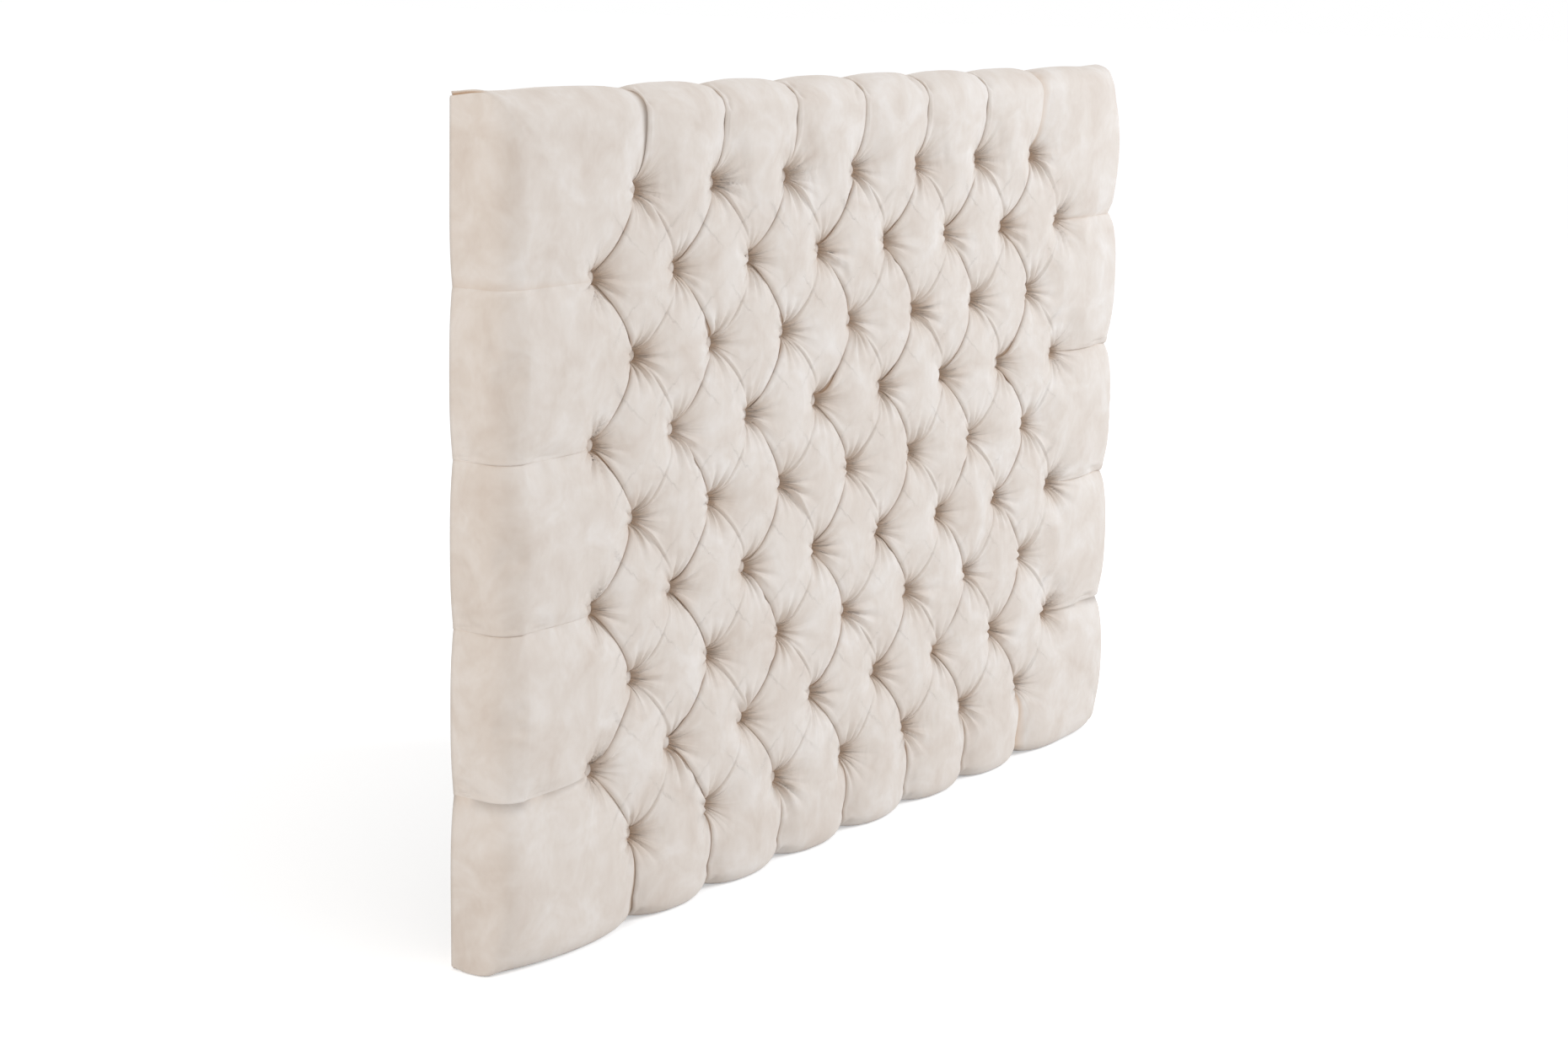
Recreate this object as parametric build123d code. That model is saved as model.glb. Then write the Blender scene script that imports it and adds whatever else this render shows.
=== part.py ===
from build123d import *

import os

# Deep-buttoned velvet headboard on a pine and plywood frame.
# Millimetres, +X along the width, -Y towards the bed, +Z up. The origin lies on the floor, midway
# along the width and midway through the thickness.

# Whole headboard, over its padding
width = 1800.0
height = 1220.0
thickness = 100.0
side_flare = 15.0
shoulder_depth = 59.0
edge_rounding = 28.0

# Button pattern: rows of 7 and 8 in turn, the first and last row with 7
button_rows = 9
wide_row_buttons = 8
side_margin = 224.5
top_margin = 147.0
bottom_margin = 133.0

# Padding: the buttons pull the cover down to seat_height above the board, into holes in the foam
seat_height = 12.0
pleat_rise = 24.0
edge_pleat_rise = 22.0
pleat_neck = 50.0
velvet_thickness = 1.5
foam_thickness = 20.0
wadding_thickness = 4.0
layer_gap = 0.3
edge_pad_thickness = 5.0
wadding_setback = 6.0
turn_in = 35.0
foam_hole_radius = 14.0
foam_mouth_radius = 34.0
tuft_floor = 3.0

# Timber frame and board
board_thickness = 9.0
rail_depth = 40.0
rail_face = 58.0
inner_stile_face = 45.0
cross_rail_face = 45.0
inner_stile_column_share = 2.75
cross_rail_row_share = 0.5
corner_block_leg = 70.0
corner_block_thickness = 20.0

# Covered buttons and their twine
button_diameter = 22.0
button_rim = 2.5
button_dome = 4.5
button_wall = 0.8
button_plate = 1.5
button_clearance = 0.5
eye_radius = 2.4
eye_wire = 0.7
eye_hole_radius = 4.2
twine_radius = 1.2
board_hole_radius = 3.0
knot_radius = 3.0
washer_radius = 9.0
washer_thickness = 2.0

# Screws
frame_screw_length = 90.0
frame_screw_radius = 2.5
frame_screw_head = 4.8
frame_screw_spread = 20.0
board_screw_length = 30.0
board_screw_radius = 2.0
board_screw_head = 4.0
rail_screws = 8
rail_screw_end_gap = 175.0
stile_screws = 4
stile_screw_end_gap = 150.0
block_screw_length = 35.0
block_screw_end_gap = 18.0
screw_gap = 0.15

# Bed bracket inserts and feet
insert_bore_radius = 4.1
insert_radius = 6.0
insert_length = 18.0
insert_flange_radius = 10.0
insert_flange = 1.5
bracket_height = 250.0
bracket_spacing = 200.0
foot_radius = 14.0
foot_inset = 150.0
foot_inner_place = 300.0
foot_recess = 3.0
foot_screw_length = 38.0

# Back sheet and staples
sheet_thickness = 0.6
sheet_margin = 14.0
sheet_window_gap = 3.0
staple_crown = 10.0
staple_wire = sheet_thickness
staple_leg = 6.0
staple_gap = 0.1
cover_staple_pitch = 150.0
sheet_staple_pitch = 110.0
cover_staple_inset = 9.0
sheet_staple_inset = 46.0

# Cuts run this far past the faces they open
overrun = 20.0

# Planes through the thickness, from the back sheet to the crowns of the puffs
back_y = thickness / 2
crown_y = -thickness / 2
flange_y = back_y - sheet_thickness
timber_back_y = flange_y - velvet_thickness
timber_front_y = timber_back_y - rail_depth
board_front_y = timber_front_y - board_thickness
seat_y = board_front_y - seat_height
shoulder_y = back_y - shoulder_depth
crown_rise = seat_y - crown_y
foam_front_y = board_front_y - foam_thickness
wadding_front_y = foam_front_y - wadding_thickness
wadding_rear_y = timber_back_y - wadding_setback

# The button pattern
column_pitch = (width - 2 * side_margin) / (wide_row_buttons - 1)
row_pitch = (height - top_margin - bottom_margin) / (button_rows - 1)
top_row_z = height - top_margin
bottom_row_z = bottom_margin
middle_row_z = (top_row_z + bottom_row_z) / 2

# The layers, as how far each one's face lies inside the velvet's outer face
wadding_inset = velvet_thickness + layer_gap
foam_inset = wadding_inset + wadding_thickness
frame_inset = side_flare + foam_inset + edge_pad_thickness
frame_width = width - 2 * frame_inset
frame_bottom_z = frame_inset
frame_top_z = height - frame_inset
stile_x = frame_width / 2 - rail_face / 2
inner_stile_x = inner_stile_column_share * column_pitch
timber_middle_y = (timber_back_y + timber_front_y) / 2
towards_bed = Vector(0, -1, 0)


def block(x0, x1, y0, y1, z0, z1):
    """A box between two corners."""
    middle = Location(((x0 + x1) / 2, (y0 + y1) / 2, (z0 + z1) / 2))
    return Solid.make_box(x1 - x0, y1 - y0, z1 - z0).moved(
        middle * Location((-(x1 - x0) / 2, -(y1 - y0) / 2, -(z1 - z0) / 2))
    )


def rod(start, direction, length, radius):
    """A round bar from a point along a direction."""
    return Solid.make_cylinder(radius, length, Plane(origin=start, z_dir=direction))


def screw(start, direction, length, radius, head, gap=0.0):
    """A countersunk screw whose flat head lies at start, or the hole that it fills."""
    top = Plane(origin=start, z_dir=direction)
    cone = Solid.make_cone(head + gap, radius + gap, head - radius, top)
    shank = Solid.make_cylinder(radius + gap, length + gap, top)
    return cone.fuse(shank)


def first_solid(shape):
    """The one solid that a boolean returns, whatever it is wrapped in."""
    solids = ShapeList(shape).solids() if isinstance(shape, list) else shape.solids()
    return solids.sort_by(SortBy.VOLUME)[-1]


def cut(shape, tools):
    """The shape less those tools whose boxes reach it."""
    near = [tool for tool in tools if reaches(shape, tool)]
    return first_solid(shape.cut(*near)) if near else shape


def reaches(first, second):
    """Whether the boxes around two shapes overlap."""
    a, b = first.bounding_box(), second.bounding_box()
    return all(
        low_a < high_b and low_b < high_a
        for low_a, high_a, low_b, high_b in (
            (a.min.X, a.max.X, b.min.X, b.max.X),
            (a.min.Y, a.max.Y, b.min.Y, b.max.Y),
            (a.min.Z, a.max.Z, b.min.Z, b.max.Z),
        )
    )


# Button places


def row_button_count(row):
    """Buttons in a row: wide rows lie between narrow ones."""
    return wide_row_buttons - 1 if row % 2 == 0 else wide_row_buttons


def row_places(count, row):
    """Centres of evenly spaced things in a row, about the middle of the width."""
    z = top_row_z - row * row_pitch
    return [((k - (count - 1) / 2) * column_pitch, z) for k in range(count)]


button_places = [
    place for row in range(button_rows) for place in row_places(row_button_count(row), row)
]


# The tufted form


def slice_wire(start, end, end_rise, middle_rise):
    """Closed outline that stands on the board between two points, topped by one arc."""
    foot = seat_height * towards_bed
    a, b = Vector(*start), Vector(*end)
    middle = (a + b) / 2 + middle_rise * towards_bed
    low_a, low_b = a - foot, b - foot
    high_a, high_b = a + end_rise * towards_bed, b + end_rise * towards_bed
    sides = [Edge.make_line(low_a, low_b), Edge.make_three_point_arc(high_b, middle, high_a)]
    sides += [Edge.make_line(low_b, high_b), Edge.make_line(high_a, low_a)]
    return Wire(sides)


def puff():
    """One diamond between four buttons, lofted from pleat to pleat over its crown."""
    x, z = column_pitch / 2, row_pitch
    lower = slice_wire((-x, 0, 0), (0, 0, -z), 0, pleat_rise)
    across = slice_wire((-x / 2, 0, z / 2), (x / 2, 0, -z / 2), pleat_rise, crown_rise)
    upper = slice_wire((0, 0, z), (x, 0, 0), 0, pleat_rise)
    return Solid.make_loft([lower, across, upper], ruled=False)


def puffs():
    """Every diamond: each row has one more than its buttons, or one less."""
    one = puff()
    made = []
    for row in range(button_rows):
        count = wide_row_buttons if row % 2 == 0 else wide_row_buttons - 1
        made += [one.moved(Location((x, seat_y, z))) for x, z in row_places(count, row)]
    return first_solid(made[0].fuse(*made[1:], glue=True))


def roll(start, end, away, length):
    """A puff that runs off over an edge, between two pleats square to that edge."""
    outlines = []
    for run, rise in ((0, 0), (pleat_neck, edge_pleat_rise), (length, edge_pleat_rise)):
        shift = run * Vector(*away) + Vector(0, seat_y, 0)
        outlines.append(slice_wire(Vector(*start) + shift, Vector(*end) + shift, rise, crown_rise))
    return Solid.make_loft(outlines, ruled=True)


def rolls():
    """The puffs along all four edges, the outer ones wide enough to make the corners."""
    beyond = width / 2 + overrun
    columns = [x for x, _ in row_places(wide_row_buttons - 1, 0)]
    stops = [-beyond, *columns, beyond]
    made = []
    for x0, x1 in zip(stops, stops[1:]):
        up, down = height + overrun - top_row_z, bottom_row_z + overrun
        made.append(roll((x0, 0, top_row_z), (x1, 0, top_row_z), (0, 0, 1), up))
        made.append(roll((x1, 0, bottom_row_z), (x0, 0, bottom_row_z), (0, 0, -1), down))
    pleat_rows = [bottom_row_z + (2 * k + 1) * row_pitch for k in range(button_rows // 2)]
    stops = [-overrun, *pleat_rows, height + overrun]
    outer = width / 2 - side_margin
    for z0, z1 in zip(stops, stops[1:]):
        made.append(roll((-outer, 0, z0), (-outer, 0, z1), (-1, 0, 0), beyond - outer))
        made.append(roll((outer, 0, z1), (outer, 0, z0), (1, 0, 0), beyond - outer))
    return made


def outline_at(y, inset):
    """Rectangle of the headboard's outline at a depth, pulled in to a layer's outer face."""
    behind_shoulder = max(y - shoulder_y, 0)
    inward = side_flare * behind_shoulder / (back_y - shoulder_y) + inset
    plane = Plane.XZ.offset(-y)
    return (plane * Pos(0, height / 2) * Rectangle(width - 2 * inward, height - 2 * inward)).face()


def envelope(inset, front_y, rear_y):
    """The headboard's flared sides between two depths, with square edges."""
    depths = [rear_y, shoulder_y, front_y] if front_y < shoulder_y else [rear_y, front_y]
    outlines = [outline_at(y, inset) for y in depths]
    parts = [loft([a, b], ruled=True) for a, b in zip(outlines, outlines[1:])]
    return first_solid(Part() + parts)


def padded_body():
    """The padded shape, solid from its tufted face to the turned-in back."""
    beyond = overrun + width / 2
    slab = block(-beyond, beyond, board_front_y, flange_y, -overrun, height + overrun)
    tufted = first_solid(puffs().fuse(slab, *rolls()))
    front_y = crown_y - layer_gap
    square = envelope(0, front_y, flange_y)
    rim = square.edges().filter_by(lambda edge: abs(edge.center().Y - front_y) < layer_gap)
    return first_solid(square.fillet(edge_rounding, rim).intersect(tufted))


def pockets():
    """Round pockets that the covered buttons sit in."""
    radius = button_diameter / 2 + button_clearance
    rise = crown_rise + overrun
    return [rod((x, seat_y, z), towards_bed, rise, radius) for x, z in button_places]


def tuft_cones(rear_y, front_y, gap):
    """Tapered holes through the foam and wadding, or the tufts of the cover inside them."""
    slope = (foam_mouth_radius - foam_hole_radius) / (board_front_y - wadding_front_y)
    radii = [foam_hole_radius + slope * (board_front_y - y) - gap for y in (rear_y, front_y)]
    return [
        Solid.make_cone(*radii, rear_y - front_y, Plane(origin=(x, rear_y, z), z_dir=towards_bed))
        for x, z in button_places
    ]


def velvet_cover():
    """The cover, drawn solid from its nap down to the wadding, with its turned-in back edge."""
    inside = envelope(velvet_thickness, wadding_front_y - layer_gap, timber_back_y)
    tufts = tuft_cones(seat_y + tuft_floor, wadding_front_y - layer_gap, layer_gap)
    inside = first_solid(inside.cut(*tufts))
    open_x = frame_width / 2 - turn_in
    back_opening = block(
        -open_x, open_x, timber_back_y - overrun, back_y + overrun,
        frame_bottom_z + turn_in, frame_top_z - turn_in,
    )
    eye_holes = [
        rod((x, seat_y - overrun, z), (0, 1, 0), 2 * overrun, eye_hole_radius) for x, z in button_places
    ]
    return first_solid(padded_body().cut(inside, back_opening, *pockets(), *eye_holes))


def foam_and_wadding():
    """The foam on the board's face, and the wadding over it and round the sides."""
    cones = tuft_cones(board_front_y + layer_gap, wadding_front_y - layer_gap, 0)
    foam = envelope(foam_inset, foam_front_y, board_front_y)
    outer = envelope(wadding_inset, wadding_front_y, wadding_rear_y)
    inner = envelope(foam_inset, foam_front_y, timber_back_y)
    return first_solid(foam.cut(*cones)), first_solid(outer.cut(inner, *cones))


# Frame


def frame_pieces():
    """The pine rails and stiles, and the plywood blocks in the corners."""
    half = frame_width / 2
    low, high = frame_bottom_z + rail_face, frame_top_z - rail_face
    y0, y1 = timber_front_y, timber_back_y
    inner = inner_stile_face / 2
    cross = cross_rail_face / 2
    centre_z = middle_row_z + cross_rail_row_share * row_pitch
    outer_z = middle_row_z - cross_rail_row_share * row_pitch
    return {
        "bottom_rail": block(-half, half, y0, y1, frame_bottom_z, low),
        "top_rail": block(-half, half, y0, y1, high, frame_top_z),
        "left_stile": block(-half, -half + rail_face, y0, y1, low, high),
        "right_stile": block(half - rail_face, half, y0, y1, low, high),
        "left_inner_stile": block(-inner_stile_x - inner, -inner_stile_x + inner, y0, y1, low, high),
        "right_inner_stile": block(inner_stile_x - inner, inner_stile_x + inner, y0, y1, low, high),
        "centre_cross_rail": block(
            -inner_stile_x + inner, inner_stile_x - inner, y0, y1, centre_z - cross, centre_z + cross
        ),
        "left_cross_rail": block(
            -half + rail_face, -inner_stile_x - inner, y0, y1, outer_z - cross, outer_z + cross
        ),
        "right_cross_rail": block(
            inner_stile_x + inner, half - rail_face, y0, y1, outer_z - cross, outer_z + cross
        ),
    }


def corner_blocks():
    """A triangular block in each inner corner, flush with the timber's back."""
    corner_x = frame_width / 2 - rail_face
    made = []
    for sx, z, sz in (
        (-1, frame_bottom_z + rail_face, 1),
        (1, frame_bottom_z + rail_face, 1),
        (-1, frame_top_z - rail_face, -1),
        (1, frame_top_z - rail_face, -1),
    ):
        x = sx * corner_x
        leg_x, leg_z = -sx * corner_block_leg, sz * corner_block_leg
        y = timber_back_y - corner_block_thickness
        face = Face(Wire.make_polygon([(x, y, z), (x + leg_x, y, z), (x, y, z + leg_z)]))
        made.append(Solid.extrude(face, Vector(0, corner_block_thickness, 0)))
    return made


def frame_screws(gap=0.0):
    """Long screws through the rails into the stiles, and through the stiles into the cross rails."""
    size = (frame_screw_length, frame_screw_radius, frame_screw_head, gap)
    made = []
    for x in (-stile_x, -inner_stile_x, inner_stile_x, stile_x):
        for side in (-1, 1):
            y = timber_middle_y + side * frame_screw_spread / 2
            made.append(screw((x, y, frame_top_z), (0, 0, -1), *size))
            made.append(screw((x, y, frame_bottom_z), (0, 0, 1), *size))
    outer_z = middle_row_z - cross_rail_row_share * row_pitch
    centre_z = middle_row_z + cross_rail_row_share * row_pitch
    outer_face = inner_stile_x + inner_stile_face / 2
    inner_face = inner_stile_x - inner_stile_face / 2
    for side in (-1, 1):
        inward, outward = (-side, 0, 0), (side, 0, 0)
        made.append(screw((side * frame_width / 2, timber_middle_y, outer_z), inward, *size))
        made.append(screw((side * inner_face, timber_middle_y, outer_z), outward, *size))
        made.append(screw((side * outer_face, timber_middle_y, centre_z), inward, *size))
    return made


def spread(count, reach):
    """Evenly spaced places from -reach to reach."""
    return [reach * (2 * k / (count - 1) - 1) for k in range(count)]


def board_screws(gap=0.0):
    """Screws through the board into the rails and stiles behind it."""
    size = (board_screw_length, board_screw_radius, board_screw_head, gap)
    places = []
    for x in spread(rail_screws, frame_width / 2 - rail_screw_end_gap):
        places += [(x, frame_bottom_z + rail_face / 2), (x, frame_top_z - rail_face / 2)]
    frame_middle_z = (frame_bottom_z + frame_top_z) / 2
    for z in spread(stile_screws, frame_middle_z - frame_bottom_z - stile_screw_end_gap):
        places += [(x, frame_middle_z + z) for x in (-stile_x, -inner_stile_x, inner_stile_x, stile_x)]
    return [screw((x, board_front_y, z), (0, 1, 0), *size) for x, z in places]


def block_screws(gap=0.0):
    """Two screws through each corner block, square to its long face's ends."""
    size = (block_screw_length, board_screw_radius, board_screw_head, gap)
    corner_x = frame_width / 2 - rail_face
    y = timber_back_y - corner_block_thickness / 2
    along = corner_block_leg - block_screw_end_gap
    made = []
    for sx in (-1, 1):
        for z, sz in ((frame_bottom_z + rail_face, 1), (frame_top_z - rail_face, -1)):
            # Where the screw starts, the block is as thick as what is left of its leg
            left = corner_block_leg - along
            made.append(screw((sx * (corner_x - along), y, z + sz * left), (0, 0, -sz), *size))
            made.append(screw((sx * (corner_x - left), y, z + sz * along), (sx, 0, 0), *size))
    return made


# Fittings on the back and the feet


def bracket_places():
    """Centres of the four threaded inserts, on the inner stiles."""
    heights = (bracket_height, bracket_height + bracket_spacing)
    return [(x, z) for x in (-inner_stile_x, inner_stile_x) for z in heights]


def inserts(gap=0.0):
    """Flanged inserts for the bolts of a bed's brackets, or their holes."""
    made = []
    for x, z in bracket_places():
        rear = (x, timber_back_y, z)
        body = rod(rear, (0, -1, 0), insert_length + gap, insert_radius + gap)
        if gap:
            made.append(body)
            continue
        flange = rod(rear, (0, 1, 0), insert_flange, insert_flange_radius)
        bore = rod(
            (x, timber_back_y + insert_flange + overrun, z),
            (0, -1, 0),
            insert_length + insert_flange + 2 * overrun,
            insert_bore_radius,
        )
        made.append(first_solid(body.fuse(flange).cut(bore)))
    return made


foot_places = [
    -frame_width / 2 + foot_inset, -foot_inner_place, foot_inner_place, frame_width / 2 - foot_inset
]


def foot_screws(gap=0.0):
    """One screw up through each foot into the bottom rail."""
    size = (foot_screw_length, board_screw_radius, board_screw_head, gap)
    return [screw((x, timber_middle_y, foot_recess), (0, 0, 1), *size) for x in foot_places]


def feet():
    """Glide feet, each cut on top to the slope of the padded underside."""
    padded_outer = envelope(0, crown_y, flange_y)
    made = []
    for x, hole in zip(foot_places, foot_screws(screw_gap)):
        post = rod((x, timber_middle_y, 0), (0, 0, 1), frame_bottom_z, foot_radius)
        mouth = board_screw_head + screw_gap
        recess = rod((x, timber_middle_y, -overrun), (0, 0, 1), overrun + foot_recess, mouth)
        made.append(first_solid(post.cut(padded_outer, recess, hole).solids().sort_by(Axis.Z)[0]))
    return made


# Back sheet and staples


def staple_legs(x, z, across, gap):
    """The two legs of a staple, or the holes that they fill."""
    wire, reach = staple_wire / 2 + gap, (staple_crown - staple_wire) / 2
    tip, rear = flange_y - staple_leg - gap, back_y - staple_wire + gap
    legs = []
    for side in (-1, 1):
        px, pz = (x + side * reach, z) if across else (x, z + side * reach)
        legs.append(block(px - wire, px + wire, tip, rear, pz - wire, pz + wire))
    return legs


def staple_crown_bar(x, z, across, gap):
    """The crown of a staple, flush with the back sheet, or the slot that it fills."""
    half, wire = staple_crown / 2 + gap, staple_wire / 2 + gap
    dx, dz = (half, wire) if across else (wire, half)
    return block(x - dx, x + dx, back_y - staple_wire - gap, back_y + gap, z - dz, z + dz)


def border_places(pitch, inset):
    """Even places along a rectangle inside the frame's edge, and whether each runs along X."""
    reach_x = frame_width / 2 - inset
    middle_z = (frame_bottom_z + frame_top_z) / 2
    reach_z = frame_top_z - inset - middle_z
    places = []
    for x in spread(2 * round(reach_x / pitch), reach_x - pitch / 2):
        places += [(x, middle_z + side * reach_z, True) for side in (-1, 1)]
    for z in spread(2 * round(reach_z / pitch), reach_z - pitch / 2):
        places += [(side * reach_x, middle_z + z, False) for side in (-1, 1)]
    return places


def staples(places):
    """A staple at each place."""
    return [
        first_solid(staple_crown_bar(*place, 0).fuse(*staple_legs(*place, 0))) for place in places
    ]


def leg_holes(places):
    """The holes of the staples' legs."""
    return [leg for place in places for leg in staple_legs(*place, staple_gap)]


def back_sheet():
    """The thin sheet that closes the back, open over the inserts."""
    x = frame_width / 2 - sheet_margin
    low, high = frame_bottom_z + sheet_margin, frame_top_z - sheet_margin
    sheet = block(-x, x, flange_y, back_y, low, high)
    windows = [
        rod(
            (px, flange_y - overrun, pz), (0, 1, 0), sheet_thickness + 2 * overrun,
            insert_flange_radius + sheet_window_gap,
        )
        for px, pz in bracket_places()
    ]
    return first_solid(sheet.cut(*windows))


# Buttons


def domed_disc(radius, rim, dome):
    """A disc with a spherical crown towards the bed, standing on y = 0."""
    ball_radius = (radius**2 + dome**2) / (2 * dome)
    centre = Plane(origin=(0, ball_radius - dome - rim, 0))
    disc = rod((0, 0, 0), towards_bed, rim + dome, radius)
    return first_solid(disc.intersect(Solid.make_sphere(ball_radius, centre, -90, 90, 360)))


def button_shell():
    """Pressed cap, covered in the headboard's velvet, with its open side at y = 0."""
    radius = button_diameter / 2
    outer = domed_disc(radius, button_rim, button_dome)
    inner = domed_disc(radius - button_wall, button_rim - button_wall, button_dome)
    return first_solid(outer.cut(inner))


def button_back():
    """Back plate that snaps into the cap, with its wire eye."""
    plate_radius = button_diameter / 2 - button_wall - screw_gap
    plate = rod((0, 0, 0), (0, -1, 0), button_plate, plate_radius)
    eye = Solid.make_torus(eye_radius, eye_wire, Plane(origin=(0, eye_radius, 0), z_dir=(1, 0, 0)))
    return first_solid(plate.fuse(eye))


def twine():
    """The twine from the eye through the padding and the board, with its knot."""
    start_y = seat_y + 2 * eye_radius + eye_wire
    knot_y = timber_front_y + washer_thickness + layer_gap + knot_radius
    strand = rod((0, start_y, 0), (0, 1, 0), knot_y - start_y, twine_radius)
    knot = Solid.make_sphere(knot_radius, Plane(origin=(0, knot_y, 0)), -90, 90, 360)
    return first_solid(strand.fuse(knot))


def washer():
    """The washer that the twine's knot pulls against the back of the board."""
    disc = rod((0, timber_front_y, 0), (0, 1, 0), washer_thickness, washer_radius)
    hole_radius = twine_radius + layer_gap
    return first_solid(
        disc.cut(rod((0, timber_front_y - overrun, 0), (0, 1, 0), 2 * overrun, hole_radius))
    )


def at_buttons(shape, y=0.0):
    """A copy of a shape at every button."""
    return [shape.moved(Location((x, y, z))) for x, z in button_places]


# The whole


def build():
    """Every piece by the name of its node."""
    cover_places = border_places(cover_staple_pitch, cover_staple_inset)
    sheet_places = border_places(sheet_staple_pitch, sheet_staple_inset)
    slots = leg_holes(cover_places + sheet_places)
    foot_holes = foot_screws(screw_gap)

    pieces = {}
    pieces["velvet_cover"] = cut(velvet_cover(), slots + foot_holes)
    foam, wadding = foam_and_wadding()
    pieces["foam_pad"] = foam
    pieces["wadding"] = cut(wadding, foot_holes)

    half, rear = width / 2, wadding_rear_y
    ring = envelope(foam_inset, board_front_y, rear)
    x, low, high = frame_width / 2, frame_bottom_z, frame_top_z
    front = board_front_y
    strips = {
        "left_edge_pad": block(-half, -x, front, rear, low, high),
        "right_edge_pad": block(x, half, front, rear, low, high),
        "bottom_edge_pad": block(-half, half, front, rear, 0, low),
        "top_edge_pad": block(-half, half, front, rear, high, height),
    }
    for name, strip in strips.items():
        pieces[name] = cut(first_solid(ring.intersect(strip)), foot_holes)

    timber_holes = frame_screws(screw_gap) + board_screws(screw_gap) + block_screws(screw_gap)
    timber_holes += inserts(screw_gap) + slots + foot_holes
    for name, timber in frame_pieces().items():
        pieces[name] = cut(timber, timber_holes)
    pieces["corner_blocks"] = [cut(shape, block_screws(screw_gap)) for shape in corner_blocks()]

    board = block(-x, x, board_front_y, timber_front_y, low, high)
    twine_holes = [
        rod((px, board_front_y - overrun, pz), (0, 1, 0), board_thickness + 2 * overrun, board_hole_radius)
        for px, pz in button_places
    ]
    pieces["front_board"] = cut(board, twine_holes + board_screws(screw_gap))

    pieces["frame_screws"] = frame_screws()
    pieces["board_screws"] = board_screws()
    pieces["corner_block_screws"] = block_screws()
    pieces["bracket_inserts"] = inserts()
    pieces["feet"] = feet()
    pieces["foot_screws"] = foot_screws()
    crown_slots = [staple_crown_bar(*place, staple_gap) for place in sheet_places]
    pieces["back_sheet"] = cut(back_sheet(), crown_slots)
    pieces["cover_staples"] = staples(cover_places)
    pieces["back_sheet_staples"] = staples(sheet_places)

    pieces["button_caps"] = at_buttons(button_shell(), seat_y)
    pieces["button_backs"] = at_buttons(button_back(), seat_y)
    pieces["button_twines"] = at_buttons(twine())
    pieces["twine_washers"] = at_buttons(washer())
    return pieces


os.makedirs("parts", exist_ok=True)
for name, made in build().items():
    export_step(Compound(made) if isinstance(made, list) else made, f"parts/{name}.step")
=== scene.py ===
"""Looks for the deep-buttoned velvet headboard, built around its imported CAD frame."""

import logging
import math
from collections.abc import Sequence
from dataclasses import dataclass, replace
from enum import Enum
from typing import Any

import bmesh
import bpy
import numpy as np
from mathutils import Matrix, Vector
from mathutils.kdtree import KDTree


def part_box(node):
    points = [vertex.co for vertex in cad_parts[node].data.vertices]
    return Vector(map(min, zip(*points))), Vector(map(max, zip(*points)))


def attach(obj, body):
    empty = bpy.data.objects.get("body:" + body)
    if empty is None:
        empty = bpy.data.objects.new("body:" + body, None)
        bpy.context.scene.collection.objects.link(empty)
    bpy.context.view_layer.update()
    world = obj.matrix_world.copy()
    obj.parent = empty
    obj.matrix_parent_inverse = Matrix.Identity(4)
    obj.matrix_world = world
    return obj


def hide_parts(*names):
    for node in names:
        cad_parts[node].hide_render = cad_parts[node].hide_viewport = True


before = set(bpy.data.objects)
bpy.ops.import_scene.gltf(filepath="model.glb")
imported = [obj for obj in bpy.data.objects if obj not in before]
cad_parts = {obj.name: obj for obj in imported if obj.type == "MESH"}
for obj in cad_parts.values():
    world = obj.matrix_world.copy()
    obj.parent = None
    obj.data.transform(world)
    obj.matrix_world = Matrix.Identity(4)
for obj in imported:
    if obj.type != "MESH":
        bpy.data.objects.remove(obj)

MM = 0.001
# Points closer than this become one where two grids meet
WELD = 0.02 * MM
Pair = tuple[float, float]
Triple = tuple[float, float, float]
Stops = tuple[tuple[float, str], ...]
Values = tuple[tuple[str, float], ...]
Array = np.ndarray
Socket = bpy.types.NodeSocket
Material = bpy.types.Material
log = logging.getLogger("headboard")


# Meshes and objects


def to_mesh(bm: bmesh.types.BMesh, name: str) -> bpy.types.Mesh:
    """Turns a bmesh into a mesh and frees it.

    Args:
        bm: The bmesh.
        name: The mesh's name.

    Returns:
        The mesh.
    """
    mesh = bpy.data.meshes.new(name)
    bm.to_mesh(mesh)
    bm.free()
    return mesh


def to_scene(name: str, data: bpy.types.ID) -> bpy.types.Object:
    """Puts an object into the scene.

    Args:
        name: Its name.
        data: Its mesh, lamp or camera.

    Returns:
        The object.
    """
    made = bpy.data.objects.new(name, data)
    bpy.context.scene.collection.objects.link(made)
    return made


def mark(mesh: bpy.types.Mesh, name: str, values: Array) -> None:
    """Stores a number or a vector with each point of a mesh.

    Args:
        mesh: The mesh.
        name: The attribute's name.
        values: One row for each point.
    """
    kind, key = ("FLOAT", "value") if values.ndim == 1 else ("FLOAT_VECTOR", "vector")
    mesh.attributes.new(name, kind, "POINT").data.foreach_set(key, values.astype(np.float32).ravel())


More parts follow.
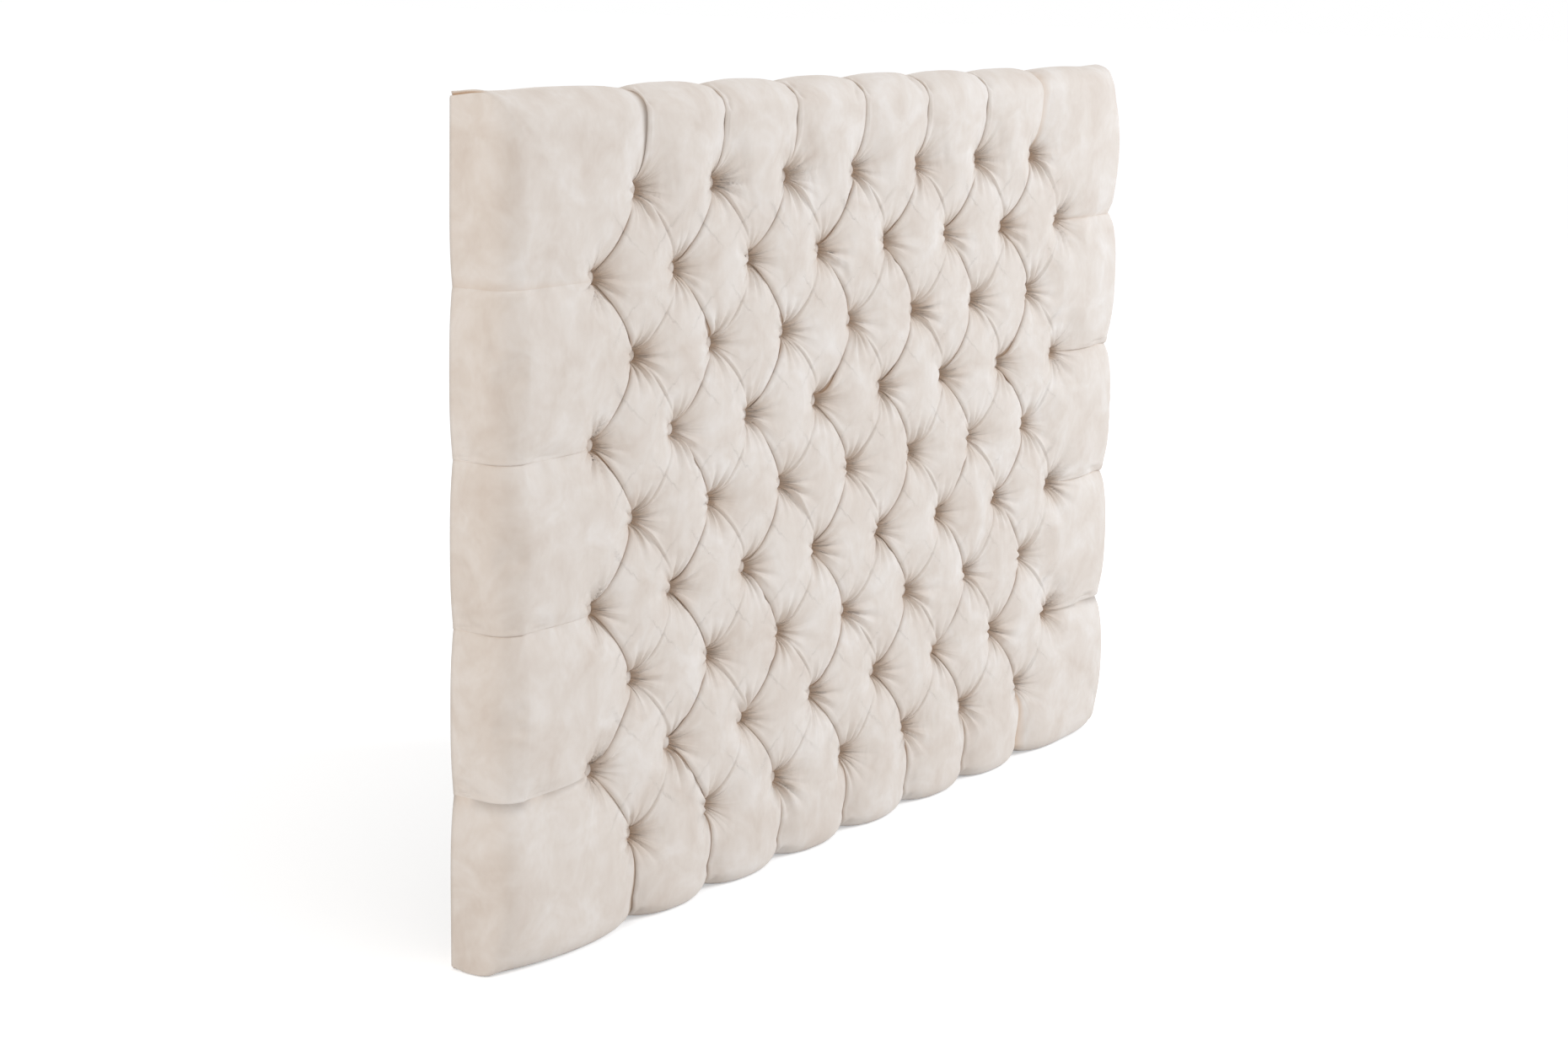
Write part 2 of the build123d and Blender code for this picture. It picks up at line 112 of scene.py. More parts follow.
def weld(mesh: bpy.types.Mesh, points: Array, rim: Array) -> None:
    """Places the points of a mesh of grids, joins the grids, and turns their faces to the bed.

    Args:
        mesh: The mesh, changed in place.
        points: Where each point goes, in millimetres.
        rim: Which points may be joined.
    """
    mesh.vertices.foreach_set("co", (points * MM).astype(np.float32).ravel())
    mesh.update()
    bm = bmesh.new()
    bm.from_mesh(mesh)
    bm.verts.ensure_lookup_table()
    bmesh.ops.remove_doubles(bm, verts=[bm.verts[k] for k in np.flatnonzero(rim)], dist=WELD)
    bmesh.ops.recalc_face_normals(bm, faces=bm.faces)
    if min(bm.faces, key=lambda face: face.calc_center_median().y).normal.y > 0:
        bmesh.ops.reverse_faces(bm, faces=bm.faces)
    for face in bm.faces:
        face.smooth = True
    bm.to_mesh(mesh)
    bm.free()


# Materials


def linear(hex_code: str) -> tuple[float, float, float, float]:
    """Turns an sRGB hex colour into linear light.

    Args:
        hex_code: Six hex digits, with or without a leading hash.

    Returns:
        Red, green, blue and an alpha of 1.
    """
    digits = hex_code.lstrip("#")
    values = [int(digits[k : k + 2], 16) / 255 for k in (0, 2, 4)]
    out = [v / 12.92 if v <= 0.04045 else ((v + 0.055) / 1.055) ** 2.4 for v in values]
    return (out[0], out[1], out[2], 1.0)


class NodeSheet:
    """The node tree of a material or a world, with one call that adds a node."""

    def __init__(self, owner: Material | bpy.types.World) -> None:
        """Clears the tree.

        Args:
            owner: The material or world.
        """
        owner.use_nodes = True
        self.owner, self.tree = owner, owner.node_tree
        self.tree.nodes.clear()

    def add(self, kind: str, inputs: dict[Any, Any] | None = None, **settings: Any) -> bpy.types.Node:
        """Adds a node with its settings, values and links.

        Args:
            kind: The node's type, without the leading "ShaderNode".
            inputs: Socket name or index to a value, or to the socket that feeds it.
            **settings: The node's own properties.

        Returns:
            The new node.
        """
        node = self.tree.nodes.new("ShaderNode" + kind)
        for name, value in settings.items():
            setattr(node, name, value)
        for key, value in (inputs or {}).items():
            if isinstance(value, Socket):
                self.tree.links.new(value, node.inputs[key])
            else:
                node.inputs[key].default_value = value
        return node

    def ramp(self, factor: Socket, stops: Stops) -> Socket:
        """Adds a colour ramp.

        Args:
            factor: What drives the ramp.
            stops: Places from 0 to 1, each with its hex colour.

        Returns:
            The ramp's colour output.
        """
        node = self.add("ValToRGB", {0: factor})
        elements = node.color_ramp.elements
        while len(elements) < len(stops):
            elements.new(0.5)
        for element, (place, code) in zip(elements, stops):
            element.position = place
            element.color = linear(code)
        return node.outputs["Color"]

    def place(self, stretch: Triple | None = None) -> Socket:
        """Adds the object's own coordinates.

        Args:
            stretch: The pattern's scale along each axis: below 1, it is drawn out that way.

        Returns:
            The coordinates.
        """
        place = self.add("TexCoord").outputs["Object"]
        return place if stretch is None else self.add("Mapping", {"Vector": place, "Scale": stretch}).outputs[0]

    def noise(self, place: Socket, period: float, **sockets: float) -> Socket:
        """Adds a noise.

        Args:
            place: The coordinates.
            period: How far its features lie apart, in millimetres.
            **sockets: Its other values.

        Returns:
            Its strength.
        """
        return self.add("TexNoise", {"Vector": place, "Scale": per_mm(period), **sockets}).outputs[0]

    def combine(self, operation: str, *values: Any) -> Socket:
        """Adds a sum of numbers and links.

        Args:
            operation: What it does with them.
            *values: The numbers and links.

        Returns:
            The result.
        """
        return self.add("Math", dict(enumerate(values)), operation=operation).outputs[0]

    def bump(self, height: Socket, strength: float, depth: float, **under: Any) -> Socket:
        """Adds a relief.

        Args:
            height: The pattern.
            strength: How much of it shows, from 0 to 1.
            depth: Its depth in millimetres.
            **under: Another relief that it lies on, as Normal.

        Returns:
            The surface's normal.
        """
        return self.add("Bump", {"Height": height, "Strength": strength, "Distance": depth * MM, **under}).outputs[0]

    def surface(self, sockets: dict[str, Any]) -> Material:
        """Adds the surface shader and the output.

        Args:
            sockets: The shader's values and links.

        Returns:
            The finished material.
        """
        shader = self.add("BsdfPrincipled", sockets)
        self.add("OutputMaterial", {"Surface": shader.outputs[0]})
        return self.owner


def per_mm(period: float) -> float:
    """The scale of a pattern that repeats about every so many millimetres.

    Args:
        period: The millimetres.

    Returns:
        The scale.
    """
    return 1.0 / (period * MM)


@dataclass(frozen=True)
class Velvet:
    """Cotton velvet, woven with a short cut pile that is brushed one way and marks softly."""

    name: str = "cotton_velvet"
    light: str = "#E7E0DA"
    body: str = "#DED4CB"
    shade: str = "#D5C8BD"
    # The crushed pile's darker roots, which also serve as the painted shade in the pits, pleats and slits
    roots_and_shade: str = "#BC8F5C"
    sheen: str = "#FFFAF5"
    gather_mm: float = 12.0
    pile_mm: float = 1.6
    streak_mm: float = 9.0
    mark_mm: float = 70.0
    mark_share: float = 0.84

    def make(self) -> Material:
        """Makes the velvet.

        Returns:
            The material.
        """
        sheet = NodeSheet(bpy.data.materials.new(self.name))
        place = sheet.place()
        # Hand marks: broad soft patches where the pile lies another way
        marks = sheet.noise(place, self.mark_mm, Detail=3.0, Roughness=0.6, Distortion=0.5)
        # Brushed pile: short streaks, longer down the cloth than across it
        streaks = sheet.noise(sheet.place((1.0, 1.0, 0.7)), self.streak_mm, Detail=4.0, Roughness=0.6)
        broad = sheet.combine("MULTIPLY", marks, self.mark_share)
        both = sheet.combine("MULTIPLY_ADD", streaks, 1 - self.mark_share, broad)
        brushed = sheet.ramp(both, ((0.28, self.shade), (0.5, self.body), (0.72, self.light)))
        # Where the cloth is drawn into a pit, a pleat or a corner's slit, the pile is crushed and shows its darker
        # roots, and the same colour paints the shade that falls there
        crushed_and_shaded = sheet.add("Attribute", attribute_name="crushed_and_shaded_pile").outputs["Fac"]
        lay = sheet.add("MapRange", {"Value": crushed_and_shaded, "From Min": 0.05, "From Max": 0.9, "To Max": 0.85}).outputs[0]
        pile = sheet.add("Mix", {"Factor": lay, 6: brushed, 7: linear(self.roots_and_shade)}, data_type="RGBA")
        # Fine gathers that run out from each button, a dozen or so to the turn
        way = sheet.add("Attribute", attribute_name="gather_way").outputs["Vector"]
        reach = sheet.add("Attribute", attribute_name="gather_reach").outputs["Fac"]
        gathers = sheet.add("TexNoise", {"Vector": way, "Scale": 4.2, "Detail": 1.5, "Roughness": 0.5}).outputs[0]
        pulled = sheet.bump(sheet.combine("MULTIPLY", gathers, reach), 1.0, self.gather_mm)
        # The nap, drawn at 1.6 mm, coarser than its fifth of a millimetre, so that it shows
        nap = sheet.noise(place, self.pile_mm, Detail=2.0, Roughness=0.7)
        return sheet.surface(
            {
                "Base Color": pile.outputs[2],
                "Roughness": 0.92,
                "IOR": 1.46,
                "Specular IOR Level": 0.18,
                "Sheen Weight": 0.32,
                "Sheen Roughness": 0.38,
                "Sheen Tint": linear(self.sheen),
                "Normal": sheet.bump(nap, 0.16, 0.3, Normal=pulled),
            }
        )


@dataclass(frozen=True)
class Finish:
    """A plain finish, where one pattern gives the colour and the relief.

    The period is the pattern's own, in millimetres, and the stretch draws it out along an axis. The
    stops are the colours from its low places to its high ones, the rough range is the roughness at
    both, where it varies, and the relief is how much its bumps show and their depth in millimetres.
    """

    name: str
    period_mm: float
    stops: Stops
    roughness: float = 0.95
    kind: str = "TexNoise"
    values: Values = ()
    settings: tuple[tuple[str, str], ...] = ()
    stretch: Triple | None = None
    relief: Pair | None = None
    rough_range: Pair | None = None
    ior: float = 1.5
    metallic: float = 0.0

    def pattern(self, sheet: NodeSheet, place: Socket) -> Socket:
        """Adds the pattern.

        Args:
            sheet: Where it goes.
            place: The coordinates.

        Returns:
            Its strength.
        """
        inputs = {"Vector": place, "Scale": per_mm(self.period_mm), **dict(self.values)}
        return sheet.add(self.kind, inputs, **dict(self.settings)).outputs[0]

    def make(self) -> Material:
        """Makes the finish.

        Returns:
            The material.
        """
        sheet = NodeSheet(bpy.data.materials.new(self.name))
        pattern = self.pattern(sheet, sheet.place(self.stretch))
        colour = sheet.ramp(pattern, self.stops)
        sockets = {"Base Color": colour, "Roughness": self.roughness, "IOR": self.ior, "Metallic": self.metallic}
        if self.rough_range:
            low, high = self.rough_range
            rough = sheet.add("MapRange", {"Value": pattern, "To Min": low, "To Max": high})
            sockets["Roughness"] = rough.outputs[0]
        if self.relief:
            sockets["Normal"] = sheet.bump(pattern, *self.relief)
        return sheet.surface(sockets)


@dataclass(frozen=True)
class Foam(Finish):
    """Cut polyurethane foam: an even, slightly yellow sponge, its cells drawn a little large so that they show."""

    name: str = "polyurethane_foam"
    period_mm: float = 1.2
    stops: Stops = ((0.0, "#D8C98E"), (0.7, "#F1E6B8"))
    kind: str = "TexVoronoi"
    relief: Pair | None = (0.5, 0.4)


@dataclass(frozen=True)
class Wadding(Finish):
    """Bonded polyester wadding: white fibres lying every way, drawn as tufts of them so that they show."""

    name: str = "polyester_wadding"
    period_mm: float = 1.8
    stops: Stops = ((0.3, "#DCDAD3"), (0.7, "#F4F2EC"))
    values: Values = (("Detail", 6.0), ("Distortion", 2.5))
    relief: Pair | None = (0.6, 0.8)


@dataclass(frozen=True)
class Pine(Finish):
    """Planed pine: pale early wood with darker late wood lines along the grain, no finish."""

    name: str = "planed_pine"
    period_mm: float = 7.0
    stops: Stops = ((0.35, "#B98B56"), (0.5, "#D8B27C"), (0.68, "#E6C896"))
    roughness: float = 0.62
    values: Values = (("Detail", 5.0), ("Distortion", 0.8))
    relief: Pair | None = (0.15, 0.3)


@dataclass(frozen=True)
class Plywood(Finish):
    """Sanded softwood plywood: a flat rotary-cut face with wide, wavy figure."""

    name: str = "sanded_plywood"
    period_mm: float = 22.0
    stops: Stops = ((0.35, "#B48A5A"), (0.65, "#D9B98A"))
    roughness: float = 0.68
    values: Values = (("Detail", 4.0), ("Distortion", 1.6))
    stretch: Triple | None = (0.15, 1.0, 1.0)


@dataclass(frozen=True)
class ZincSteel(Finish):
    """Steel with a bright zinc plating, slightly clouded."""

    name: str = "zinc_plated_steel"
    period_mm: float = 4.0
    stops: Stops = ((0.35, "#9FA3A6"), (0.65, "#C9CCCE"))
    values: Values = (("Detail", 3.0),)
    rough_range: Pair | None = (0.24, 0.42)
    metallic: float = 1.0


@dataclass(frozen=True)
class MouldedPlastic(Finish):
    """Black polypropylene, moulded with a fine matt grain, drawn coarser than its tenth of a millimetre."""

    name: str = "moulded_polypropylene"
    period_mm: float = 0.8
    stops: Stops = ((0.3, "#17181A"), (0.7, "#26272A"))
    roughness: float = 0.5
    relief: Pair | None = (0.2, 0.1)
    ior: float = 1.49


@dataclass(frozen=True)
class Twine(Finish):
    """Waxed upholsterer's twine: pale linen, its 3 mm twist drawn as bands of 19 mm so that it shows."""

    name: str = "waxed_linen_twine"
    # A wave texture's bands repeat every 0.31 of its period, so these come to 19 mm
    period_mm: float = 60.0
    stops: Stops = ((0.2, "#B9AC8C"), (0.8, "#E2D9C0"))
    roughness: float = 0.6
    kind: str = "TexWave"
    values: Values = (("Distortion", 0.5),)
    settings: tuple[tuple[str, str], ...] = (("bands_direction", "DIAGONAL"),)


@dataclass(frozen=True)
class SpunbondCloth(Finish):
    """Black spunbond dust cloth: matt fibres bonded in rows of small dots, both drawn coarse so that they show."""

    name: str = "black_spunbond"
    period_mm: float = 2.4
    fibre_mm: float = 1.0
    stops: Stops = ((0.05, "#0E0E10"), (0.4, "#2C2C30"))
    roughness: float = 0.88
    relief: Pair | None = (0.35, 0.25)
    ior: float = 1.49

    def pattern(self, sheet: NodeSheet, place: Socket) -> Socket:
        """Adds the dots with the fibres over them.

        Args:
            sheet: Where they go.
            place: The coordinates.

        Returns:
            Both, multiplied.
        """
        dots = sheet.add("TexVoronoi", {"Vector": place, "Scale": per_mm(self.period_mm), "Randomness": 0.25})
        fibres = sheet.noise(place, self.fibre_mm, Detail=4.0, Distortion=1.5)
        return sheet.combine("MULTIPLY", dots.outputs["Distance"], fibres)


# Pieces


@dataclass(frozen=True)
class Piece:
    """What a new piece is called, which CAD nodes it stands for, and its finish."""

    name: str
    stands_for: tuple[str, ...]
    slot: str
    material: Material

    def add(self, mesh: bpy.types.Mesh) -> bpy.types.Object:
        """Puts a mesh into the scene as this piece.

        Args:
            mesh: Its mesh, already in place.

        Returns:
            The object.
        """
        mesh.name = self.name
        mesh.materials.clear()
        mesh.materials.append(self.material)
        made = to_scene(self.name, mesh)
        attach(made, "root")
        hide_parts(*self.stands_for)
        log.info("built %s with %d faces", self.name, len(mesh.polygons))
        return made


# The padding and its cover


@dataclass(frozen=True)
class TuftPattern:
    """Where the buttons sit, in millimetres, as in the CAD."""

    width: float = 1800.0
    height: float = 1220.0
    column_pitch: float = 193.0
    row_pitch: float = 117.5
    rows: int = 9
    wide_row: int = 8
    top_row_z: float = 1073.0
    # How much the stuffing thins out at the right edge, and how far in
    edge_thinning: Pair = (9.0, 55.0)
    # The same at each corner: its side, its end, the depth, and one reach for all
    corner_thinning: tuple[Triple, ...] = ((-1, 1, 6.0), (1, 1, 20.0), (-1, 0, 24.0), (1, 0, 14.0))
    corner_reach: float = 72.0

    def count(self, row: int) -> int:
        """Counts the buttons in a row: wide rows lie between narrow ones.

        Args:
            row: The row, counted from the top.

        Returns:
            How many.
        """
        return self.wide_row - 1 if row % 2 == 0 else self.wide_row

    def button(self, row: int, k: int) -> Array:
        """A button's place across and up.

        Args:
            row: The row, counted from the top.
            k: The button in its row, counted from the left.

        Returns:
            Its x and z.
        """
        x = (k - (self.count(row) - 1) / 2) * self.column_pitch
        return np.array([x, self.top_row_z - row * self.row_pitch])

    def buttons(self) -> Array:
        """Lists every button.

        Returns:
            One row for each, with its x and z.
        """
        return np.array([self.button(r, k) for r in range(self.rows) for k in range(self.count(r))])

    def thinner(self, plan: Array) -> Array:
        """How much the stuffing thins out towards the right edge and the corners.

        Args:
            plan: Points across and up.

        Returns:
            Depths.
        """
        depth, reach = self.edge_thinning
        depths = depth * np.exp(-(((self.width / 2 - plan[:, 0]) / reach) ** 2))
        for side, end, depth in self.corner_thinning:
            away = np.hypot(plan[:, 0] - side * self.width / 2, plan[:, 1] - end * self.height)
            depths += depth * np.exp(-((away / self.corner_reach) ** 2))
        return depths


class Side(Enum):
    """The side of a pleat that a cell's cloth is on."""

    OVER = 1
    UNDER = -1


@dataclass(frozen=True)
class Tuck:
    """How the cloth is folded along a pleat.

    Sizes are in millimetres. The turn is how far the upper cloth curls under, in radians, the next value is how
    dark the pile is made in the fold, painted shade with the pile crushed there, and at_edge is the depth at the
    headboard's edge, both as shares. The sag is a broad valley that joins the pleat at the edge, start is where
    it begins off the button, and the roll is the thin ridge along the upper cloth. It lasts over this share of
    the way rightwards, and its end at the edge is drawn this far towards the back.
    """

    groove: float
    lip: float
    overhang: float
    reach: float
    turn: float
    darkening: float
    at_edge: float = 1.0
    sag: float = 0.0
    start: float = 14.0
    roll: float = 0.0
    lasts: float = 2.0
    drawn: float = 0.0


class Fold(Enum):
    """The kinds of pleat on this headboard."""

    # The sixth value darkens the pile in the fold: painted shade with the pile crushed there
    CREASE = Tuck(8.0, 4.4, 2.8, 24.0, 2.55, 0.8, roll=0.5)
    RIDGE = Tuck(0.9, 3.0, 0.0, 19.0, 1.45, 0.0, roll=2.9, lasts=0.52)
    LEFT_EDGE = Tuck(1.4, 2.2, 0.0, 11.0, 1.6, 0.2, at_edge=1.8, sag=2.6, start=60.0, roll=0.3)
    RIGHT_EDGE = Tuck(5.5, 4.6, 0.6, 28.0, 2.0, 0.2, at_edge=1.2, sag=7.0)
    TOP_EDGE = Tuck(5.5, 3.6, 1.8, 20.0, 2.5, 0.3, at_edge=0.4, sag=2.5, roll=0.5)
    BOTTOM_EDGE = Tuck(5.5, 4.6, 0.8, 30.0, 2.1, 0.6, at_edge=0.9, sag=13.0, roll=0.4, drawn=15.0)


@dataclass(frozen=True)
class Pleat:
    """A straight pleat in plan, seen from one of the two cells that meet there."""

    start: Array
    end: Array
    side: Side
    fold: Fold
    to_edge: bool = False


@dataclass
class Cell:
    """One puff: its pleats, and the plan that its grid is laid out on.

    Outward is the way from where a grid line starts to roll over to the layer's outline, and sweep
    counts its steps from there. The corner gap is the way along the outline from a corner, for the
    puffs that have one. The last two are the steps' places along both sides.
    """

    pleats: list[Pleat]
    plan: Array
    outward: Array
    sweep: Array
    corner_gap: Array | None
    across_at: Array
    along_at: Array

    def __post_init__(self) -> None:
        """Counts the steps."""
        self.across, self.along = len(self.across_at) - 1, len(self.along_at) - 1

    def rim(self, i: Array, j: Array) -> Array:
        """Finds the grid points on the cell's border.

        Args:
            i: Steps across.
            j: Steps along.

        Returns:
            Which of them lie there.
        """
        return (i == 0) | (i == self.across) | (j == 0) | (j == self.along)


@dataclass
class Course:
    """A pleat as the points of one cell see it: the way into the cell, and each point's place off and along it."""

    pleat: Pleat
    across: Array
    size: float
    off: Array
    along: Array


@dataclass
class Wrap:
    """How each point of a cell lies round the edge.

    Rolled is true beyond the front, the angle runs round the roll, down and inward are the shares of
    the way down the side and in on the back, flat falls to 0 where the hem lies flat, and away is the
    way out of the edge. Out, depth and hem are the way outwards, back and in again, in millimetres.
    """

    rolled: Array
    angle: Array
    down: Array
    inward: Array
    flat: Array
    away: Array
    out: Array
    depth: Array
    hem: Array


# How the cloth lies. Lengths are in millimetres, and the rest are shares and powers
# How the steps of a grid crowd together: at the pleats, in a corner puff, and towards the edge
PUFF_CROWDING, CORNER_CROWDING, EDGE_CROWDING = 0.6, 0.8, 1.35
# A corner's outline: the steps before its arc, how they crowd there, and the radius where the roll begins
ARC_FROM, ARC_CROWDING, ROLL_CORNER = 0.36, 1.7, 24.0
# How far a button's pit reaches, and its fan of small folds: their waves, reach, height and cut-off
PIT_LIMIT, FAN_WAVES, FAN_REACH, FAN_LIMIT, FAN_GAIN, FAN_CUT = 170.0, range(3, 10), 17.0, 125.0, 1.7, 1.1
# The gathers drawn in the velvet: where they begin, their rise, and where and how fast they fade
GATHER_START, GATHER_RISE, GATHER_FULL, GATHER_FADE = 7.0, 8.0, 12.0, 19.0
# The unevenness of the stuffing: how many waves, their length and their height
SWELLS, SWELL_PERIOD, SWELL_HEIGHT = 18, 110.0, 0.56
# The edge: how much squarer the lower one is, the side's curve, the hem's fullness at corners, and its turn
LOW_SQUARE, FLARE_POWER, HEM_CORNER, HEM_TURN = 0.4, 1.4, 1.7, 0.2
# A puff's dome: its curve, its gain on the roll, its loss on the side, and the small folds' loss there
DOME_POWER, ROLL_GAIN, DOME_LOSS, FINE_LOSS = 1.4, 0.4, 0.4, 0.7
# A pleat's beginning and end: the room at a button, the curve, the fade's width and the smallest lip
BUTTON_ROOM, START_POWER, END_WIDTH, LEAST_LIP = 7.0, 1.3, 0.11, 0.5
# A pleat at the edge: what its groove and its overhang lose, and its broad valley's reach and curve
GROOVE_LOSS, OVERHANG_LOSS, SAG_REACH, SAG_POWER = 0.45, 0.75, 50.0, 1.5
# The upper cloth's ridge, its rise, place and width, and the curve of the cloth that slips under it
RIDGE_RISE, RIDGE_AT, RIDGE_WIDTH, SLIP_POWER = 2.0, 3.2, 3.4, 2.4
# How dark the pile is made in the pits and in the pleats, and how sharply: painted shade with the pile crushed there
PIT_CRUSH_AND_SHADE, PIT_CRUSH_AND_SHADE_POWER, PLEAT_CRUSH_AND_SHADE, PLEAT_CRUSH_AND_SHADE_POWER = 0.7, 1.4, 0.95, 5
# A corner's flap: where it begins on the roll and how fast, its line, its soft side and its length
FLAP_FROM, FLAP_RISE, FLAP_LINE, FLAP_WIDTH, FLAP_SOFT, FLAP_LENGTH = 0.85, 0.4, 1.0, 1.7, 3.0, 110.0
# The depth of the flap's slit, its thickness, and how dark the slit is made: painted shade in it, with the pile
# crushed there
FLAP_SLIT, FLAP_THICKNESS, FLAP_CRUSH_AND_SHADE = 4.0, 2.4, 0.9
# How much of the settling the corner puffs take, because they are stretched tight
CORNER_SETTLING = 0.3


@dataclass
class TuftedLayer:
    """A layer of the padding: laid over the puffs, wrapped round the sides and in on the back.

    All sizes are in millimetres. Heights are measured towards the bed from the buttons' seat.
    """

    pattern: TuftPattern
    seat_y: float = -13.1
    crown: float = 43.5
    dome_share: float = 0.12
    dome_reach: float = 40.0
    pit_floor: float = 8.0
    pit_reach: float = 17.0
    pit_power: float = 0.75
    fold_share: float = 1.0
    fan: float = 4.2
    inset: float = 6.0
    low_inset: float = 1.8
    lowest: float = 1.0
    rounding: float = 38.0
    corner: float = 9.0
    flare: float = 11.0
    low_flare: float = 6.0
    left_flare: float = 3.0
    back_y: float = 49.4
    turn_in: float = 43.0
    steps: int = 50
    front_steps: int = 26
    arc_steps: int = 14
    side_steps: int = 9
    back_steps: int = 5
    seed: int = 11
    fill: float = 0.8
    settles: bool = False

    def __post_init__(self) -> None:
        """Works out the fans of small folds round the buttons, the same ones each time."""
        rng = np.random.default_rng(self.seed)
        self.buttons = self.pattern.buttons()
        self.fan_waves = np.array(FAN_WAVES)
        # The middle wave is the strongest
        weights = 1.0 / (0.6 + np.abs(self.fan_waves - self.fan_waves.mean()) / 3)
        self.fan_sizes = rng.uniform(0.3, 1.0, (len(self.buttons), len(weights))) * weights
        self.fan_sizes /= np.sqrt((self.fan_sizes**2).sum(1, keepdims=True))
        self.fan_turns = rng.uniform(0, math.tau, (len(self.buttons), len(weights)))
        self.swell_waves = rng.uniform(-1, 1, (SWELLS, 2)) * math.tau / SWELL_PERIOD
        self.swell_turns = rng.uniform(0, math.tau, SWELLS)
        # How high the pits' rims stand over the buttons' seat, and where the cloth begins to roll over
        self.tall = self.crown * (1 - self.dome_share)
        self.valley_y = self.seat_y - self.tall

    # Cells and their grids

    def spaced(self, count: int, share: float = PUFF_CROWDING) -> Array:
        """Places from 0 to 1, closer together at both ends.

        Args:
            count: How many steps.
            share: How much closer the ends are, from 0 to 1.

        Returns:
            count + 1 places.
        """
        even = np.linspace(0, 1, count + 1)
        return share * (1 - np.cos(math.pi * even)) / 2 + (1 - share) * even

    def pleat(self, a: Array, b: Array, middle: Array) -> Pleat:
        """The pleat between two buttons. Its right-hand cloth lies over its left.

        It is deep where it leaves a wide row rightwards, and a light ridge elsewhere.

        Args:
            a: One button.
            b: The other.
            middle: The middle of the cell it is seen from.

        Returns:
            The pleat.
        """
        left = a if a[0] < b[0] else b
        row = round((self.pattern.top_row_z - left[1]) / self.pattern.row_pitch)
        side = Side.OVER if middle[0] > (a[0] + b[0]) / 2 else Side.UNDER
        return Pleat(a, b, side, Fold.CREASE if row % 2 == 1 else Fold.RIDGE)

    def diamond(self, left: Array, top: Array, right: Array, bottom: Array) -> Cell:
        """A puff between four buttons.

        Args:
            left: The left button.
            top: The top button.
            right: The right button.
            bottom: The bottom button.

        Returns:
            The cell.
        """
        s = self.spaced(self.steps)
        plan = left + s[:, None, None] * (top - left) + s[None, :, None] * (bottom - left)
        ends = ((left, top), (top, right), (right, bottom), (bottom, left))
        pleats = [self.pleat(a, b, (left + right) / 2) for a, b in ends]
        return Cell(pleats, plan, np.zeros(plan.shape), np.zeros(plan.shape[:2]), None, s, s)

    def contour(
        self, inset: float, radius: float, side_a: Array, side_b: Array, shares: Array
    ) -> tuple[Array, Array | None]:
        """Points along the outline between two pleats, round a corner if one lies between them.

        Args:
            inset: How far inside the layer's outline this one lies.
            radius: The outline's corner radius.
            side_a: The first pleat's button.
            side_b: The last pleat's button.
            shares: Places from 0 to 1 along the way.

        Returns:
            The points, and how far each lies from the corner along the outline, if there is one.
        """
        half, high = self.pattern.width / 2 - self.inset - inset, self.pattern.height - self.inset - inset
        low = self.low_inset + inset

        def edge_point(button: Array, sideways: bool) -> Array:
            """Where a button's pleat meets the outline.

            Args:
                button: The button.
                sideways: Whether the pleat runs out sideways, rather than up or down.

            Returns:
                The point.
            """
            if sideways:
                return np.array([math.copysign(half, button[0]), button[1]])
            return np.array([button[0], high if button[1] > self.pattern.height / 2 else low])

        same_z, same_x = abs(side_a[1] - side_b[1]) < 1, abs(side_a[0] - side_b[0]) < 1
        if same_z or same_x:
            a, b = edge_point(side_a, same_x), edge_point(side_b, same_x)
            return a + shares[:, None] * (b - a), None
        # At a corner, the first pleat runs out sideways, and the last one up or down
        a, b = edge_point(side_a, True), edge_point(side_b, False)
        tip = np.array([a[0], b[1]])
        to_a, to_b = np.sign(a - tip), np.sign(b - tip)
        centre = tip + radius * (to_a + to_b)
        first, last = tip + radius * to_a, tip + radius * to_b
        # Straight up to the arc, round it, and straight on
        before = np.clip(1 - shares / ARC_FROM, 0, 1) ** ARC_CROWDING
        after = np.clip((shares - 1 + ARC_FROM) / ARC_FROM, 0, 1) ** ARC_CROWDING
        done = np.clip((shares - ARC_FROM) / (1 - 2 * ARC_FROM), 0, 1)
        turn = done[:, None] * math.pi / 2
        points = centre - radius * (to_b * np.cos(turn) + to_a * np.sin(turn))
        points += before[:, None] * (a - first) + after[:, None] * (b - last)
        gaps = (done - 0.5) * radius * math.pi / 2
        gaps += after * np.linalg.norm(b - last) - before * np.linalg.norm(a - first)
        return points, gaps

    def panel(self, inner: list[Array]) -> Cell:
        """A puff that runs off over an edge.

        Args:
            inner: The two or three buttons along its inner side.

        Returns:
            The cell.
        """
        spans = len(inner) - 1
        s = self.spaced(self.steps)
        lines = [inner[k] + s[:, None] * (inner[k + 1] - inner[k]) for k in range(spans)]
        inside = np.concatenate([lines[0]] + [line[1:] for line in lines[1:]])
        count = len(inside)
        shares = np.linspace(0, 1, count) if spans == 1 else self.spaced(count - 1, CORNER_CROWDING)
        edge, gaps = self.contour(0.0, self.corner, inner[0], inner[-1], shares)
        begin, _ = self.contour(self.rounding, ROLL_CORNER, inner[0], inner[-1], shares)
        front = (np.arange(self.front_steps + 1) / self.front_steps) ** EDGE_CROWDING
        beyond = np.arange(1, self.arc_steps + self.side_steps + self.back_steps + 1)
        reach = np.r_[front, np.ones(len(beyond))]
        plan = inside[:, None] + reach[None, :, None] * (begin - inside)[:, None]
        sweep = np.broadcast_to(np.r_[np.zeros(len(front)), beyond], plan.shape[:2])
        outward = np.broadcast_to((edge - begin)[:, None], plan.shape)
        gap = None if gaps is None else np.broadcast_to(gaps[:, None], plan.shape[:2])
